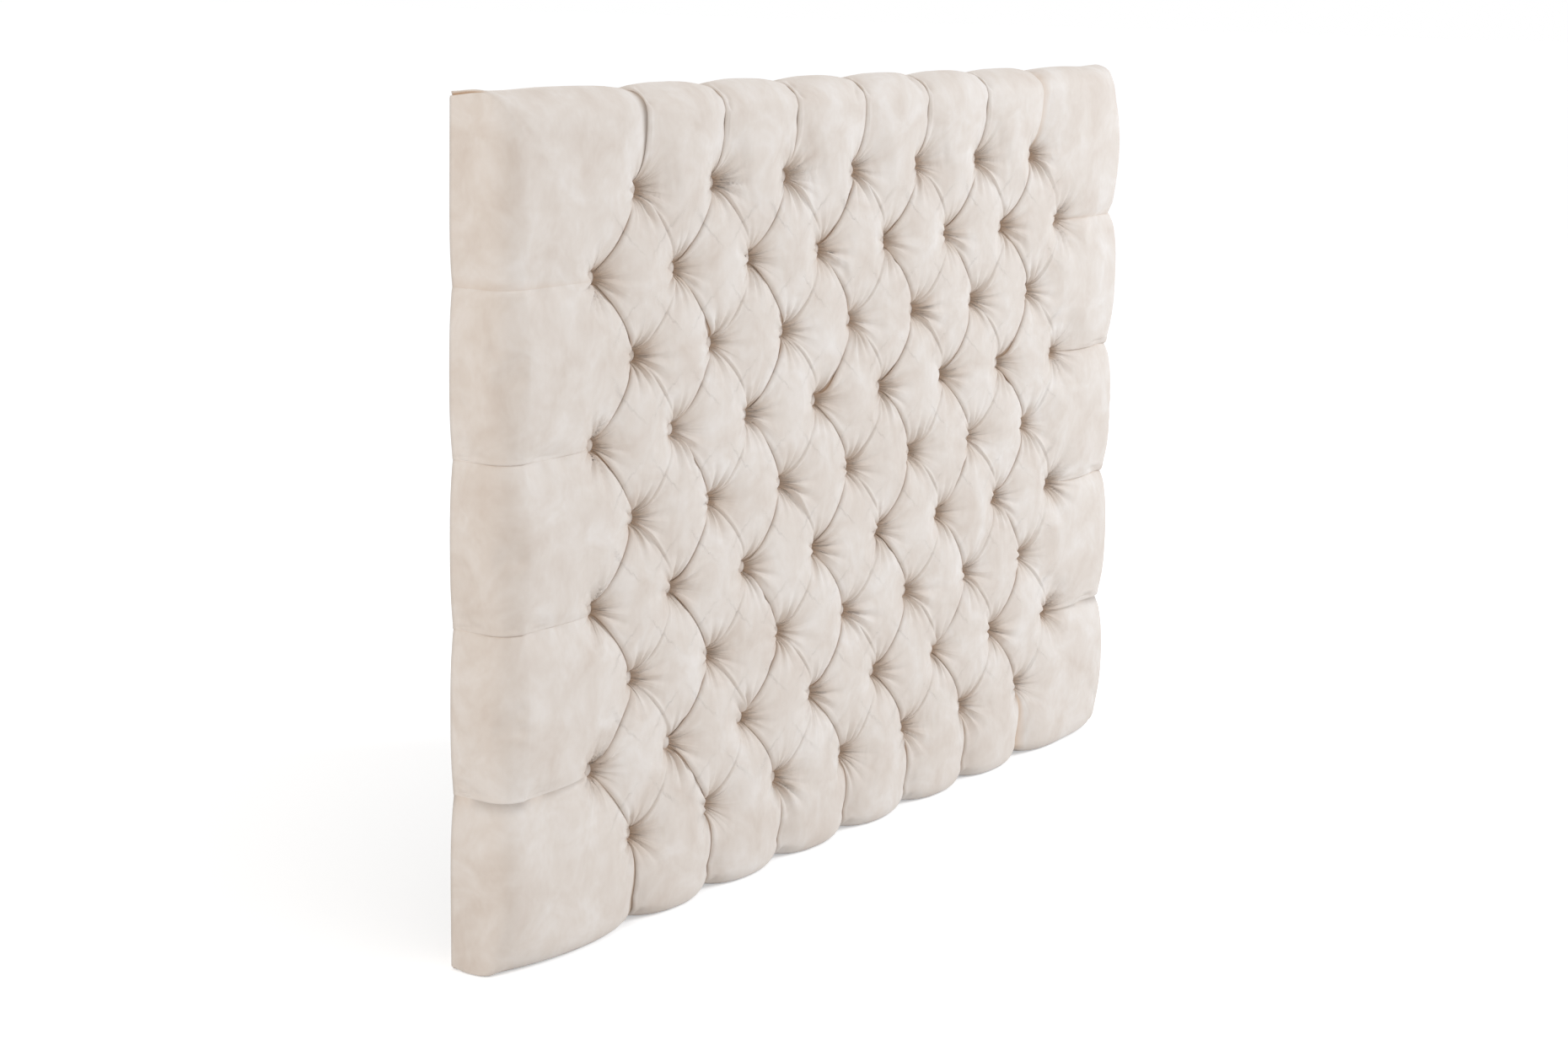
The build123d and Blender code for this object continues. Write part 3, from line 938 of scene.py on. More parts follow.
        # Of two panels, the right or upper one lies over the other
        middle = begin[count // 2]
        pleats = [self.pleat(inner[k], inner[k + 1], middle) for k in range(spans)]
        for end, button in ((edge[0], inner[0]), (edge[-1], inner[-1])):
            away = end - button
            upright = abs(away[0]) < 1
            over = middle[0] > button[0] if upright else middle[1] > button[1]
            if upright:
                fold = Fold.TOP_EDGE if away[1] > 0 else Fold.BOTTOM_EDGE
            else:
                fold = Fold.RIGHT_EDGE if away[0] > 0 else Fold.LEFT_EDGE
            pleats.append(Pleat(button, end, Side.OVER if over else Side.UNDER, fold, True))
        across_at = np.concatenate([s] + [k + s[1:] for k in range(1, spans)])
        stretches = ((self.arc_steps, 1), (self.side_steps, 2), (self.back_steps, 3))
        along_at = np.concatenate([front] + [first + np.arange(1, n + 1) / n for n, first in stretches])
        return Cell(pleats, plan, outward, sweep, gap, across_at, along_at)

    def cells(self) -> list[Cell]:
        """Lays out every puff of the cover.

        Returns:
            The cells.
        """
        at, rows = self.pattern.button, self.pattern.rows
        made = []
        for row in range(1, rows - 1):
            wide = row % 2 == 1
            for k in range(self.pattern.count(row) - 1):
                up = at(row - 1, k if wide else k + 1)
                down = at(row + 1, k if wide else k + 1)
                made.append(self.diamond(at(row, k), up, at(row, k + 1), down))
        last, narrow = rows - 1, self.pattern.wide_row - 1
        for k in range(narrow - 1):
            made.append(self.panel([at(0, k), at(1, k + 1), at(0, k + 1)]))
            made.append(self.panel([at(last, k), at(last - 1, k + 1), at(last, k + 1)]))
        for row in range(2, rows - 1, 2):
            made.append(self.panel([at(row - 1, 0), at(row, 0), at(row + 1, 0)]))
            made.append(self.panel([at(row - 1, narrow), at(row, narrow - 1), at(row + 1, narrow)]))
        for side in (0, 1):
            wide_k, narrow_k = side * narrow, side * (narrow - 1)
            made.append(self.panel([at(1, wide_k), at(0, narrow_k)]))
            made.append(self.panel([at(last - 1, wide_k), at(last, narrow_k)]))
        return made

    def flat_grids(self, cells: list[Cell]) -> tuple[bpy.types.Mesh, list[tuple[Array, ...]]]:
        """Lays one flat grid for each cell, side by side in one mesh.

        Args:
            cells: The cells.

        Returns:
            The mesh, and for each cell the numbers of its points with their steps across and along.
        """
        bm = bmesh.new()
        # Each grid is one unit wide, and they lie two units apart
        pitch = 2.0
        for k, cell in enumerate(cells):
            at = Matrix.Translation((pitch * k, 0, 0))
            bmesh.ops.create_grid(bm, x_segments=cell.across, y_segments=cell.along, size=0.5, matrix=at)
        mesh = to_mesh(bm, "tufted_cloth")
        flat = np.empty(len(mesh.vertices) * 3)
        mesh.vertices.foreach_get("co", flat)
        x, y, _ = flat.reshape(-1, 3).T
        owner = np.rint(x / pitch).astype(int)
        found = []
        for k, cell in enumerate(cells):
            mine = np.flatnonzero(owner == k)
            i = np.rint((x[mine] - pitch * k + 0.5) * cell.across).astype(int)
            j = np.rint((y[mine] + 0.5) * cell.along).astype(int)
            found.append((mine, i, j))
        return mesh, found

    # The shape

    def pits(self, plan: Array) -> tuple[Array, Array, Array]:
        """How far the cloth has risen out of the buttons' pits, and the small folds that fan out of them.

        Args:
            plan: Points across and up.

        Returns:
            Shares of the full height, the folds' heights, and for each point the way from the
            nearest button, that button's number and the strength of its gathers.
        """
        risen, folds = np.ones(len(plan)), np.zeros(len(plan))
        nearest, gather = np.full(len(plan), np.inf), np.zeros((len(plan), 4))
        for b, place in enumerate(self.buttons):
            away = plan - place
            far = np.hypot(away[:, 0], away[:, 1])
            near = far < PIT_LIMIT
            d = far[near]
            past = np.maximum(d - self.pit_floor, 0)
            risen[near] *= 1 - np.exp(-((past / self.pit_reach) ** self.pit_power))
            turn = np.arctan2(away[near, 1], away[near, 0])
            wave = (self.fan_sizes[b] * np.cos(turn[:, None] * self.fan_waves + self.fan_turns[b])).sum(1)
            reach = past / FAN_REACH * np.exp(1 - past / FAN_REACH) * np.clip(1 - d / FAN_LIMIT, 0, 1)
            folds[near] += self.fan * reach * (np.abs(wave) * FAN_GAIN - FAN_CUT)
            closer = far < nearest
            d = far[closer]
            gather[closer, :2], gather[closer, 2] = away[closer] / np.maximum(d, 1e-6)[:, None], b
            fade = np.exp(-np.clip(d - GATHER_FULL, 0, None) / GATHER_FADE)
            gather[closer, 3] = np.clip((d - GATHER_START) / GATHER_RISE, 0, 1) * fade
            nearest = np.minimum(nearest, far)
        return risen, folds, gather

    def swells(self, plan: Array) -> Array:
        """Slight unevenness of the stuffing.

        Args:
            plan: Points across and up.

        Returns:
            Heights.
        """
        return SWELL_HEIGHT * np.sin(plan @ self.swell_waves.T + self.swell_turns).sum(1) / math.sqrt(SWELLS)

    def wrap(self, cell: Cell) -> Wrap:
        """Leads the cloth round the edge, down the side and in on the back.

        Args:
            cell: The cell.

        Returns:
            Where its points lie.
        """
        sweep, outward = cell.sweep.reshape(-1), cell.outward.reshape(-1, 2)
        length = np.maximum(np.hypot(outward[:, 0], outward[:, 1]), 1e-9)
        away = outward / length[:, None]
        angle = np.clip(sweep / self.arc_steps, 0, 1) * math.pi / 2
        down = np.clip((sweep - self.arc_steps) / self.side_steps, 0, 1)
        inward = np.clip((sweep - self.arc_steps - self.side_steps) / self.back_steps, 0, 1)
        under, leftward = np.clip(-away[:, 1], 0, 1), np.clip(-away[:, 0], 0, 1)
        flare = self.flare - (self.flare - self.low_flare) * under - (self.flare - self.left_flare) * leftward
        square = 1 - LOW_SQUARE * under
        out = np.sin(angle) ** square * length - down**FLARE_POWER * flare
        rolled_back = 1 - np.clip(np.cos(angle), 0, 1) ** square
        side = self.back_y - self.valley_y - self.rounding
        depth = np.where(sweep > 0, self.rounding * rolled_back + down * side, 0)
        hem = np.sign(away) * np.minimum(HEM_CORNER * np.abs(away), 1) * (inward * self.turn_in)[:, None]
        flat = 1 - np.clip(inward / HEM_TURN, 0, 1)
        return Wrap(sweep > 0, angle, down, inward, flat, away, out, depth, hem)

    def courses(self, cell: Cell) -> tuple[list[Course], list[Array]]:
        """Measures a cell's points against its pleats.

        Args:
            cell: The cell.

        Returns:
            Its pleats, and how much each one rules each point.
        """
        plan = cell.plan.reshape(-1, 2)
        found = []
        for pleat in cell.pleats:
            run = pleat.end - pleat.start
            size = np.linalg.norm(run)
            run = run / size
            across = np.array([-run[1], run[0]])
            if (plan.mean(0) - pleat.start) @ across < 0:
                across = -across
            away = plan - pleat.start
            found.append(Course(pleat, across, size, np.maximum(away @ across, 0), away @ run))
        shares = []
        for course in found:
            others = [other.off**2 + 1e-9 for other in found if other is not course]
            shares.append(np.prod([square / (square + course.off**2) for square in others], axis=0))
        return found, shares

    def fold(self, course: Course, share: Array, wrap: Wrap) -> tuple[Array, ...]:
        """Rolls the cloth over along a pleat, or slips it under.

        Args:
            course: The pleat.
            share: How much it rules each point.
            wrap: How the points lie round the edge.

        Returns:
            How far each point slides across the pleat and sinks, how far it is drawn to the back,
            and how dark its pile is made: painted shade in the fold, with the pile crushed there.
        """
        pleat, tuck, d, size = course.pleat, course.pleat.fold.value, course.off, course.size
        to_start, to_end = np.clip(course.along, 0, None), np.clip(size - course.along, 0, None)
        from_button = to_start if pleat.to_edge else np.minimum(to_start, to_end)
        begun = 1 - np.exp(-((np.maximum(from_button - BUTTON_ROOM, 0) / tuck.start) ** START_POWER))
        rightwards = course.along / size
        if pleat.start[0] >= pleat.end[0]:
            rightwards = 1 - rightwards
        begun *= 1 / (1 + np.exp(np.clip((rightwards - tuck.lasts) / END_WIDTH, -30, 30)))
        groove = self.fold_share * tuck.groove * begun
        lip, over = tuck.lip * begun + LEAST_LIP, self.fold_share * tuck.overhang * begun
        sunk, drawn = np.zeros(len(d)), np.zeros(len(d))
        if pleat.to_edge:
            gone = np.clip(from_button / size, 0, 1)
            side = 1 - GROOVE_LOSS * wrap.down
            groove = groove * (1 + (tuck.at_edge - 1) * gone) * side
            over = over * (1 - OVERHANG_LOSS * gone)
            broad = share * np.exp(-((d / SAG_REACH) ** SAG_POWER)) * gone**2 * side * wrap.flat
            sunk, drawn = self.fold_share * tuck.sag * broad, tuck.drawn * broad
        # How far the lip's end comes back under, in full and here
        full = lip - (lip + over) * math.sin(tuck.turn)
        pulled = full * begun
        if pleat.side is Side.OVER:
            q = np.clip(1 - d / lip, 0, 1)
            turn = tuck.turn * q
            moved = lip - (lip + over) * np.sin(turn) - d + (pulled - full) * q**2
            moved = np.where(d < lip, moved, 0)
            under = (1 - np.cos(turn)) / (1 - math.cos(tuck.turn))
            ridge = np.clip(d / RIDGE_RISE, 0, 1) * np.exp(-(((d - RIDGE_AT) / RIDGE_WIDTH) ** 2))
            ridge *= self.fold_share * tuck.roll * begun * share
            sunk = sunk - ridge * (1 - wrap.down) * (1 - wrap.inward)
        else:
            v = np.clip(d / tuck.reach, 0, 1)
            moved = -pulled * (1 - v) ** 2
            under = (1 - v) ** SLIP_POWER
        sunk = sunk + share * groove * wrap.flat * under
        # Painted shade along the fold, darkest where the cloth slips under, with the pile crushed there
        crushed_and_shaded = share * begun * PLEAT_CRUSH_AND_SHADE * tuck.darkening * under**PLEAT_CRUSH_AND_SHADE_POWER
        return (share * moved * wrap.flat)[:, None] * course.across, sunk, drawn, crushed_and_shaded

    def flap(self, cell: Cell, wrap: Wrap) -> tuple[Array, Array]:
        """The folded flap at a corner.

        Args:
            cell: A cell that has a corner.
            wrap: How its points lie round the edge.

        Returns:
            How far each point sinks, and how dark its pile is made: painted shade in the slit, with the pile crushed
            there.
        """
        gap = cell.corner_gap.reshape(-1) - FLAP_LINE
        rise = (cell.sweep.reshape(-1) / self.arc_steps - FLAP_FROM) / FLAP_RISE
        there = np.clip(rise, 0, 1) * (1 - wrap.inward)
        line = np.exp(-((gap / FLAP_WIDTH) ** 2))
        soft = np.clip(gap / FLAP_SOFT, 0, 1) * np.clip(1 - (gap - FLAP_SOFT) / FLAP_LENGTH, 0, 1) ** 2
        # The slit's line is darkened: painted shade in the slit, with the pile crushed there
        return there * (FLAP_SLIT * line - FLAP_THICKNESS * soft) * wrap.flat, there * FLAP_CRUSH_AND_SHADE * line

    def shape(self, cell: Cell) -> tuple[Array, Array]:
        """Lays the cloth over one cell.

        Args:
            cell: The cell.

        Returns:
            The place of each grid point, in millimetres, and how its pile lies: the way from the
            nearest button, the button's number, the strength of the gathers and how dark it is made, painted shade
            with the pile crushed there.
        """
        plan, wrap = cell.plan.reshape(-1, 2), self.wrap(cell)
        risen, folds, gather = self.pits(plan)
        courses, shares = self.courses(cell)
        dome = np.prod([1 - np.exp(-((course.off / self.dome_reach) ** DOME_POWER)) for course in courses], axis=0)
        fade = (1 + ROLL_GAIN * np.sin(wrap.angle) - DOME_LOSS * wrap.down) * wrap.flat
        lift = self.crown * self.dome_share * dome * risen * fade
        lift += (folds + self.swells(plan) * risen) * (1 - FINE_LOSS * wrap.down) * wrap.flat
        slide, sunk, drawn = np.zeros((len(plan), 2)), np.zeros(len(plan)), np.zeros(len(plan))
        # Painted shade in each pit, darker as the cloth sinks to its button, with the pile crushed there
        crushed_and_shaded = np.clip(1 - risen, 0, 1) ** PIT_CRUSH_AND_SHADE_POWER * PIT_CRUSH_AND_SHADE
        for course, share in zip(courses, shares):
            for total, part in zip((slide, sunk, drawn, crushed_and_shaded), self.fold(course, share, wrap)):
                total += part
        if cell.corner_gap is not None:
            for total, part in zip((sunk, crushed_and_shaded), self.flap(cell, wrap)):
                total += part

        up = lift - sunk
        turned = up + self.tall * (risen - 1) * np.cos(wrap.angle) ** 2 * (wrap.down == 0)
        # The way that the relief stands out turns with the cloth
        lean = wrap.angle + (1 - wrap.flat) * math.pi / 2
        outward = wrap.out + np.sin(lean) * turned * wrap.rolled
        placed = plan + slide - wrap.hem + wrap.away * outward[:, None]
        beyond = self.valley_y + wrap.depth - np.cos(lean) * turned
        y = np.where(wrap.rolled, beyond, self.seat_y - self.tall * risen - up)
        y += (self.pattern.thinner(placed) + drawn) * (1 - wrap.down)
        points = np.c_[placed[:, 0], np.minimum(y, self.back_y), np.maximum(placed[:, 1], self.lowest)]
        lay = np.c_[gather, np.clip(crushed_and_shaded, 0, 1)]
        grid = cell.plan.shape[:2]
        return points.reshape(*grid, 3), lay.reshape(*grid, 5)

    def settle(self, cells: list[Cell], cap: float = 4.0, frames: int = 14) -> list[Array]:
        """Lets a coarse copy settle as cloth over its filling, held at the buttons, the pleats and the back.

        Args:
            cells: The fine cells.
            cap: The most that a point of the coarse copy may move, in millimetres.
            frames: How many frames the cloth is given.

        Returns:
            For each cell, how far each point of its fine grid moves.
        """
        coarse = replace(self, steps=14, front_steps=9, arc_steps=5, side_steps=3, back_steps=2)
        grids = coarse.cells()
        shapes = [coarse.shape(cell)[0] for cell in grids]
        mesh, found = self.flat_grids(grids)
        placed, held = np.empty((len(mesh.vertices), 3)), np.zeros(len(mesh.vertices), bool)
        for cell, shape, (mine, i, j) in zip(grids, shapes, found):
            placed[mine] = shape[i, j]
            held[mine] = cell.rim(i, j) | (cell.sweep[i, j] >= coarse.arc_steps + coarse.side_steps)
        mark(mesh, "pinned", held.astype(float))
        weld(mesh, placed, held)
        cloth = to_scene("settling_cloth", mesh)
        first, moved = np.empty(len(mesh.vertices) * 3), np.empty(len(mesh.vertices) * 3)
        mesh.vertices.foreach_get("co", first)
        pins = [k for k, pin in enumerate(mesh.attributes["pinned"].data) if pin.value > 0.5]
        cloth.vertex_groups.new(name="held").add(pins, 1.0, "REPLACE")
        modifier = cloth.modifiers.new("cloth", "CLOTH")
        settings = modifier.settings
        settings.quality, settings.mass = 6, 0.25
        settings.tension_stiffness = settings.compression_stiffness = 18
        settings.shear_stiffness, settings.bending_stiffness = 6, 0.6
        settings.vertex_group_mass = "held"
        # The filling blows the cloth up a little, and it is cut slightly full
        settings.use_pressure, settings.uniform_pressure_force = True, 2.0
        settings.shrink_min = -0.008
        settings.effector_weights.gravity = 0
        modifier.collision_settings.use_collision = False
        modifier.point_cache.frame_start, modifier.point_cache.frame_end = 1, frames
        scene = bpy.context.scene
        for frame_number in range(1, frames + 1):
            scene.frame_set(frame_number)
        evaluated = cloth.evaluated_get(bpy.context.evaluated_depsgraph_get())
        evaluated.data.vertices.foreach_get("co", moved)
        first, moved = first.reshape(-1, 3) / MM, moved.reshape(-1, 3) / MM
        shift = moved - first
        size = np.linalg.norm(shift, axis=1, keepdims=True)
        shift *= np.minimum(1, cap / np.maximum(size, 1e-6))
        log.info("settled %d points, mean %.2f mm, most %.2f mm before the cap", len(shift), size.mean(), size.max())
        tree = KDTree(len(first))
        for k, co in enumerate(first):
            tree.insert(co, k)
        tree.balance()
        bpy.data.objects.remove(cloth)
        bpy.data.meshes.remove(mesh)
        scene.frame_set(1)
        moves = []
        for fine, grid, shape in zip(cells, grids, shapes):
            nearest = [tree.find(co)[1] for co in shape.reshape(-1, 3)]
            at = shift[nearest].reshape(shape.shape)
            rows, columns = self.spline(grid.across_at, fine.across_at), self.spline(grid.along_at, fine.along_at)
            moves.append(np.einsum("ai,bj,ijk->abk", rows, columns, at))
        return moves

    def spline(self, known: Array, wanted: Array) -> Array:
        """The matrix of a natural cubic spline.

        Args:
            known: The places where the values are known.
            wanted: The places where they are wanted.

        Returns:
            One row for each wanted place, one column for each known one.
        """
        n = len(known)
        h = np.diff(known)
        bend, right = np.eye(n), np.zeros((n, n))
        for k in range(1, n - 1):
            bend[k, k - 1 : k + 2] = h[k - 1], 2 * (h[k - 1] + h[k]), h[k]
            right[k, k - 1 : k + 2] = 6 / h[k - 1], -6 / h[k - 1] - 6 / h[k], 6 / h[k]
        curve = np.linalg.solve(bend, right)
        cell = np.clip(np.searchsorted(known, wanted, side="right") - 1, 0, n - 2)
        step = h[cell][:, None]
        b = ((wanted - known[cell]) / h[cell])[:, None]
        a = 1 - b
        unit = np.eye(n)
        bent = (a**3 - a) * curve[cell] + (b**3 - b) * curve[cell + 1]
        return a * unit[cell] + b * unit[cell + 1] + bent * step**2 / 6

    def mesh(self) -> bpy.types.Mesh:
        """Lays one grid for each cell, shapes it, and joins them at the pleats.

        Returns:
            The cover's mesh, in metres.
        """
        cells = self.cells()
        moves = self.settle(cells) if self.settles else None
        mesh, found = self.flat_grids(cells)
        count = len(mesh.vertices)
        placed, lay, rim = np.empty((count, 3)), np.empty((count, 5)), np.zeros(count, bool)
        for k, (cell, (mine, i, j)) in enumerate(zip(cells, found)):
            points, pile = self.shape(cell)
            if moves:
                points = points + moves[k] * (1.0 if cell.corner_gap is None else CORNER_SETTLING)
                points[..., 1] = np.minimum(points[..., 1], self.back_y)
                points[..., 2] = np.maximum(points[..., 2], self.lowest)
            placed[mine], lay[mine] = points[i, j], pile[i, j]
            rim[mine] = cell.rim(i, j)
        # Stores the pile's darkening: painted shade in the pits, pleats and slits, with the pile crushed there
        mark(mesh, "crushed_and_shaded_pile", lay[:, 4])
        mark(mesh, "gather_reach", lay[:, 3])
        mark(mesh, "gather_way", lay[:, :3])
        weld(mesh, placed, rim)
        return mesh

    def build(self, piece: Piece, inner: "TuftedLayer") -> None:
        """Makes the layer, closes it with its inner face, and dresses it.

        Args:
            piece: What it is called, what it stands for and its finish.
            inner: The layer's inner face.
        """
        mesh, inside = self.mesh(), inner.mesh()
        bm = bmesh.new()
        bm.from_mesh(inside)
        bmesh.ops.reverse_faces(bm, faces=bm.faces)
        rims = [edge for edge in bm.edges if edge.is_boundary]
        bm.from_mesh(mesh)
        bpy.data.meshes.remove(inside)
        known = set(rims)
        hem = [edge for edge in bm.edges if edge.is_boundary and edge not in known]
        turned = bmesh.ops.extrude_edge_only(bm, edges=hem)["geom"]
        thickness = (self.back_y - inner.back_y) * MM
        verts = [part for part in turned if isinstance(part, bmesh.types.BMVert)]
        bmesh.ops.translate(bm, verts=verts, vec=(0, -thickness, 0))
        rims += [edge for edge in turned if isinstance(edge, bmesh.types.BMEdge) and edge.is_boundary]
        bmesh.ops.triangle_fill(bm, use_beauty=True, use_dissolve=False, edges=rims, normal=(0, -1, 0))
        bmesh.ops.recalc_face_normals(bm, faces=bm.faces)
        log.info("%s: %d edges left open", piece.name, sum(edge.is_boundary for edge in bm.edges))
        for face in bm.faces:
            face.smooth = True
        bm.to_mesh(mesh)
        bm.free()
        made = piece.add(mesh)


@dataclass
class EdgePads:
    """The four foam strips round the timber, pressed in where a pleat crosses them."""

    pattern: TuftPattern
    taper: float = 7.0
    clear: float = 0.6
    back_off: float = 8.0
    dip: float = 6.0
    low_back_off: float = 8.5
    low_dip: float = 10.5
    dip_reach: float = 32.0
    cuts: int = 150

    def build(self, foam: Material) -> None:
        """Makes the strips.

        Args:
            foam: Their material.
        """
        places = self.pattern.buttons()
        for name, axis, sign in (("left", 0, -1), ("right", 0, 1), ("bottom", 2, -1), ("top", 2, 1)):
            low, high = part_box(f"{name}_edge_pad")
            size, middle = high - low, (high + low) / 2
            run = 2 - axis
            back_off, dip = (self.low_back_off, self.low_dip) if name == "bottom" else (self.back_off, self.dip)
            # The pleats that cross it come from the outermost buttons
            reach = places[:, 1] if run == 0 else np.abs(places[:, 0])
            pleats = places[reach > reach.max() - 1, 0 if run == 0 else 1]
            bm = bmesh.new()
            bmesh.ops.create_cube(bm, size=1.0)
            bmesh.ops.scale(bm, verts=bm.verts, vec=[side - self.clear * MM for side in size])
            bmesh.ops.translate(bm, verts=bm.verts, vec=middle)
            long_edges = [e for e in bm.edges if abs(e.verts[0].co[run] - e.verts[1].co[run]) > size[run] / 2]
            bmesh.ops.subdivide_edges(bm, edges=long_edges, cuts=self.cuts, use_grid_fill=True)
            for vert in bm.verts:
                if (vert.co[axis] - middle[axis]) * sign > 0:
                    far = np.abs(pleats * MM - vert.co[run]).min() / MM
                    rear = self.taper if vert.co.y > middle.y else 0.0
                    pressed = back_off + rear + dip * math.exp(-((far / self.dip_reach) ** 2))
                    vert.co[axis] -= sign * pressed * MM
            bmesh.ops.recalc_face_normals(bm, faces=bm.faces)
            mesh = to_mesh(bm, f"{name}_edge_strip")
            strip = Piece(f"{name}_edge_strip", (f"{name}_edge_pad",), "foam", foam).add(mesh)


@dataclass
class FoamPad:
    """The foam on the board, with a tapered hole under each button."""

    pattern: TuftPattern
    inset: float = 22.0
    low_inset: float = 29.0
    depth: float = 19.0
    hole_reach: float = 24.0
    floor: float = 1.6
    rear_y: float = -1.4
    columns: int = 240
    rows: int = 160

    def build(self, foam: Material) -> None:
        """Makes the pad.

        Args:
            foam: Its material.
        """
        p, places = self.pattern, self.pattern.buttons()
        width, height = p.width - 2 * self.inset, p.height - self.inset - self.low_inset
        bm = bmesh.new()
        turn = Matrix.Rotation(math.pi / 2, 4, "X")
        bmesh.ops.create_grid(bm, x_segments=self.columns, y_segments=self.rows, size=0.5, matrix=turn)
        bmesh.ops.scale(bm, verts=bm.verts, vec=(width * MM, 1, height * MM))
        middle = (0, self.rear_y * MM, (self.low_inset + height / 2) * MM)
        bmesh.ops.translate(bm, verts=bm.verts, vec=middle)
        front = list(bm.verts)
        bmesh.ops.extrude_edge_only(bm, edges=[edge for edge in bm.edges if edge.is_boundary])
        for vert in front:
            plan = np.array([vert.co.x, vert.co.z]) / MM
            far = np.hypot(*(places - plan).T).min()
            deep = self.depth * (1 - math.exp(-((far / self.hole_reach) ** 2))) - float(p.thinner(plan[None])[0])
            vert.co.y -= (self.floor + max(deep, 0.0)) * MM
        bmesh.ops.holes_fill(bm, edges=[edge for edge in bm.edges if edge.is_boundary], sides=0)
        bmesh.ops.recalc_face_normals(bm, faces=bm.faces)
        pad = Piece("tufting_foam", ("foam_pad",), "foam", foam).add(to_mesh(bm, "foam_seat"))


@dataclass
class CoveredButtons:
    """Domed buttons covered in the same velvet, each pulled a little askew."""

    pattern: TuftPattern
    radius: float = 11.0
    foot_share: float = 0.97
    roundness: float = 0.8
    rim: float = 3.2
    dome: float = 5.2
    seat_y: float = -13.1
    tilt: float = 7.0
    darkening: float = 0.12
    rings: int = 7
    sides: int = 28
    seed: int = 5

    def build(self, velvet: Material) -> None:
        """Spins one button and sets a copy at each place.

        Args:
            velvet: Their material.
        """
        rng = np.random.default_rng(self.seed)
        bm = bmesh.new()
        turns = [k / self.rings * math.pi / 2 for k in range(self.rings)]
        outline = [(0.0, 0.0), (self.radius * self.foot_share, 0.0)]
        outline += [(self.radius * math.cos(t) ** self.roundness, self.rim + self.dome * math.sin(t)) for t in turns]
        outline += [(0.0, self.rim + self.dome)]
        verts = [bm.verts.new((r * MM, -h * MM, 0)) for r, h in outline]
        geom = verts + [bm.edges.new(pair) for pair in zip(verts, verts[1:])]
        centre, axis = (0, 0, 0), (0, 1, 0)
        bmesh.ops.spin(bm, geom=geom, axis=axis, cent=centre, steps=self.sides, angle=math.tau, use_merge=True)
        bmesh.ops.remove_doubles(bm, verts=bm.verts, dist=WELD / 2)
        bmesh.ops.recalc_face_normals(bm, faces=bm.faces)
        first = list(bm.verts)
        geom = first + list(bm.edges) + list(bm.faces)
        for x, z in self.pattern.buttons():
            copy = bmesh.ops.duplicate(bm, geom=geom)["geom"]
            moved = [part for part in copy if isinstance(part, bmesh.types.BMVert)]
            lean = [math.radians(a) for a in rng.uniform(-self.tilt, self.tilt, 2)]
            turn = Matrix.Rotation(lean[0], 4, "X") @ Matrix.Rotation(lean[1], 4, "Z")
            place = Matrix.Translation((x * MM, self.seat_y * MM, z * MM))
            bmesh.ops.transform(bm, matrix=place @ turn, verts=moved)
        bmesh.ops.delete(bm, geom=first, context="VERTS")
        for face in bm.faces:
            face.smooth = True
        mesh = to_mesh(bm, "covered_buttons")
        mark(mesh, "crushed_and_shaded_pile", np.full(len(mesh.vertices), self.darkening))
        Piece("covered_buttons", ("button_caps",), "velvet", velvet).add(mesh)


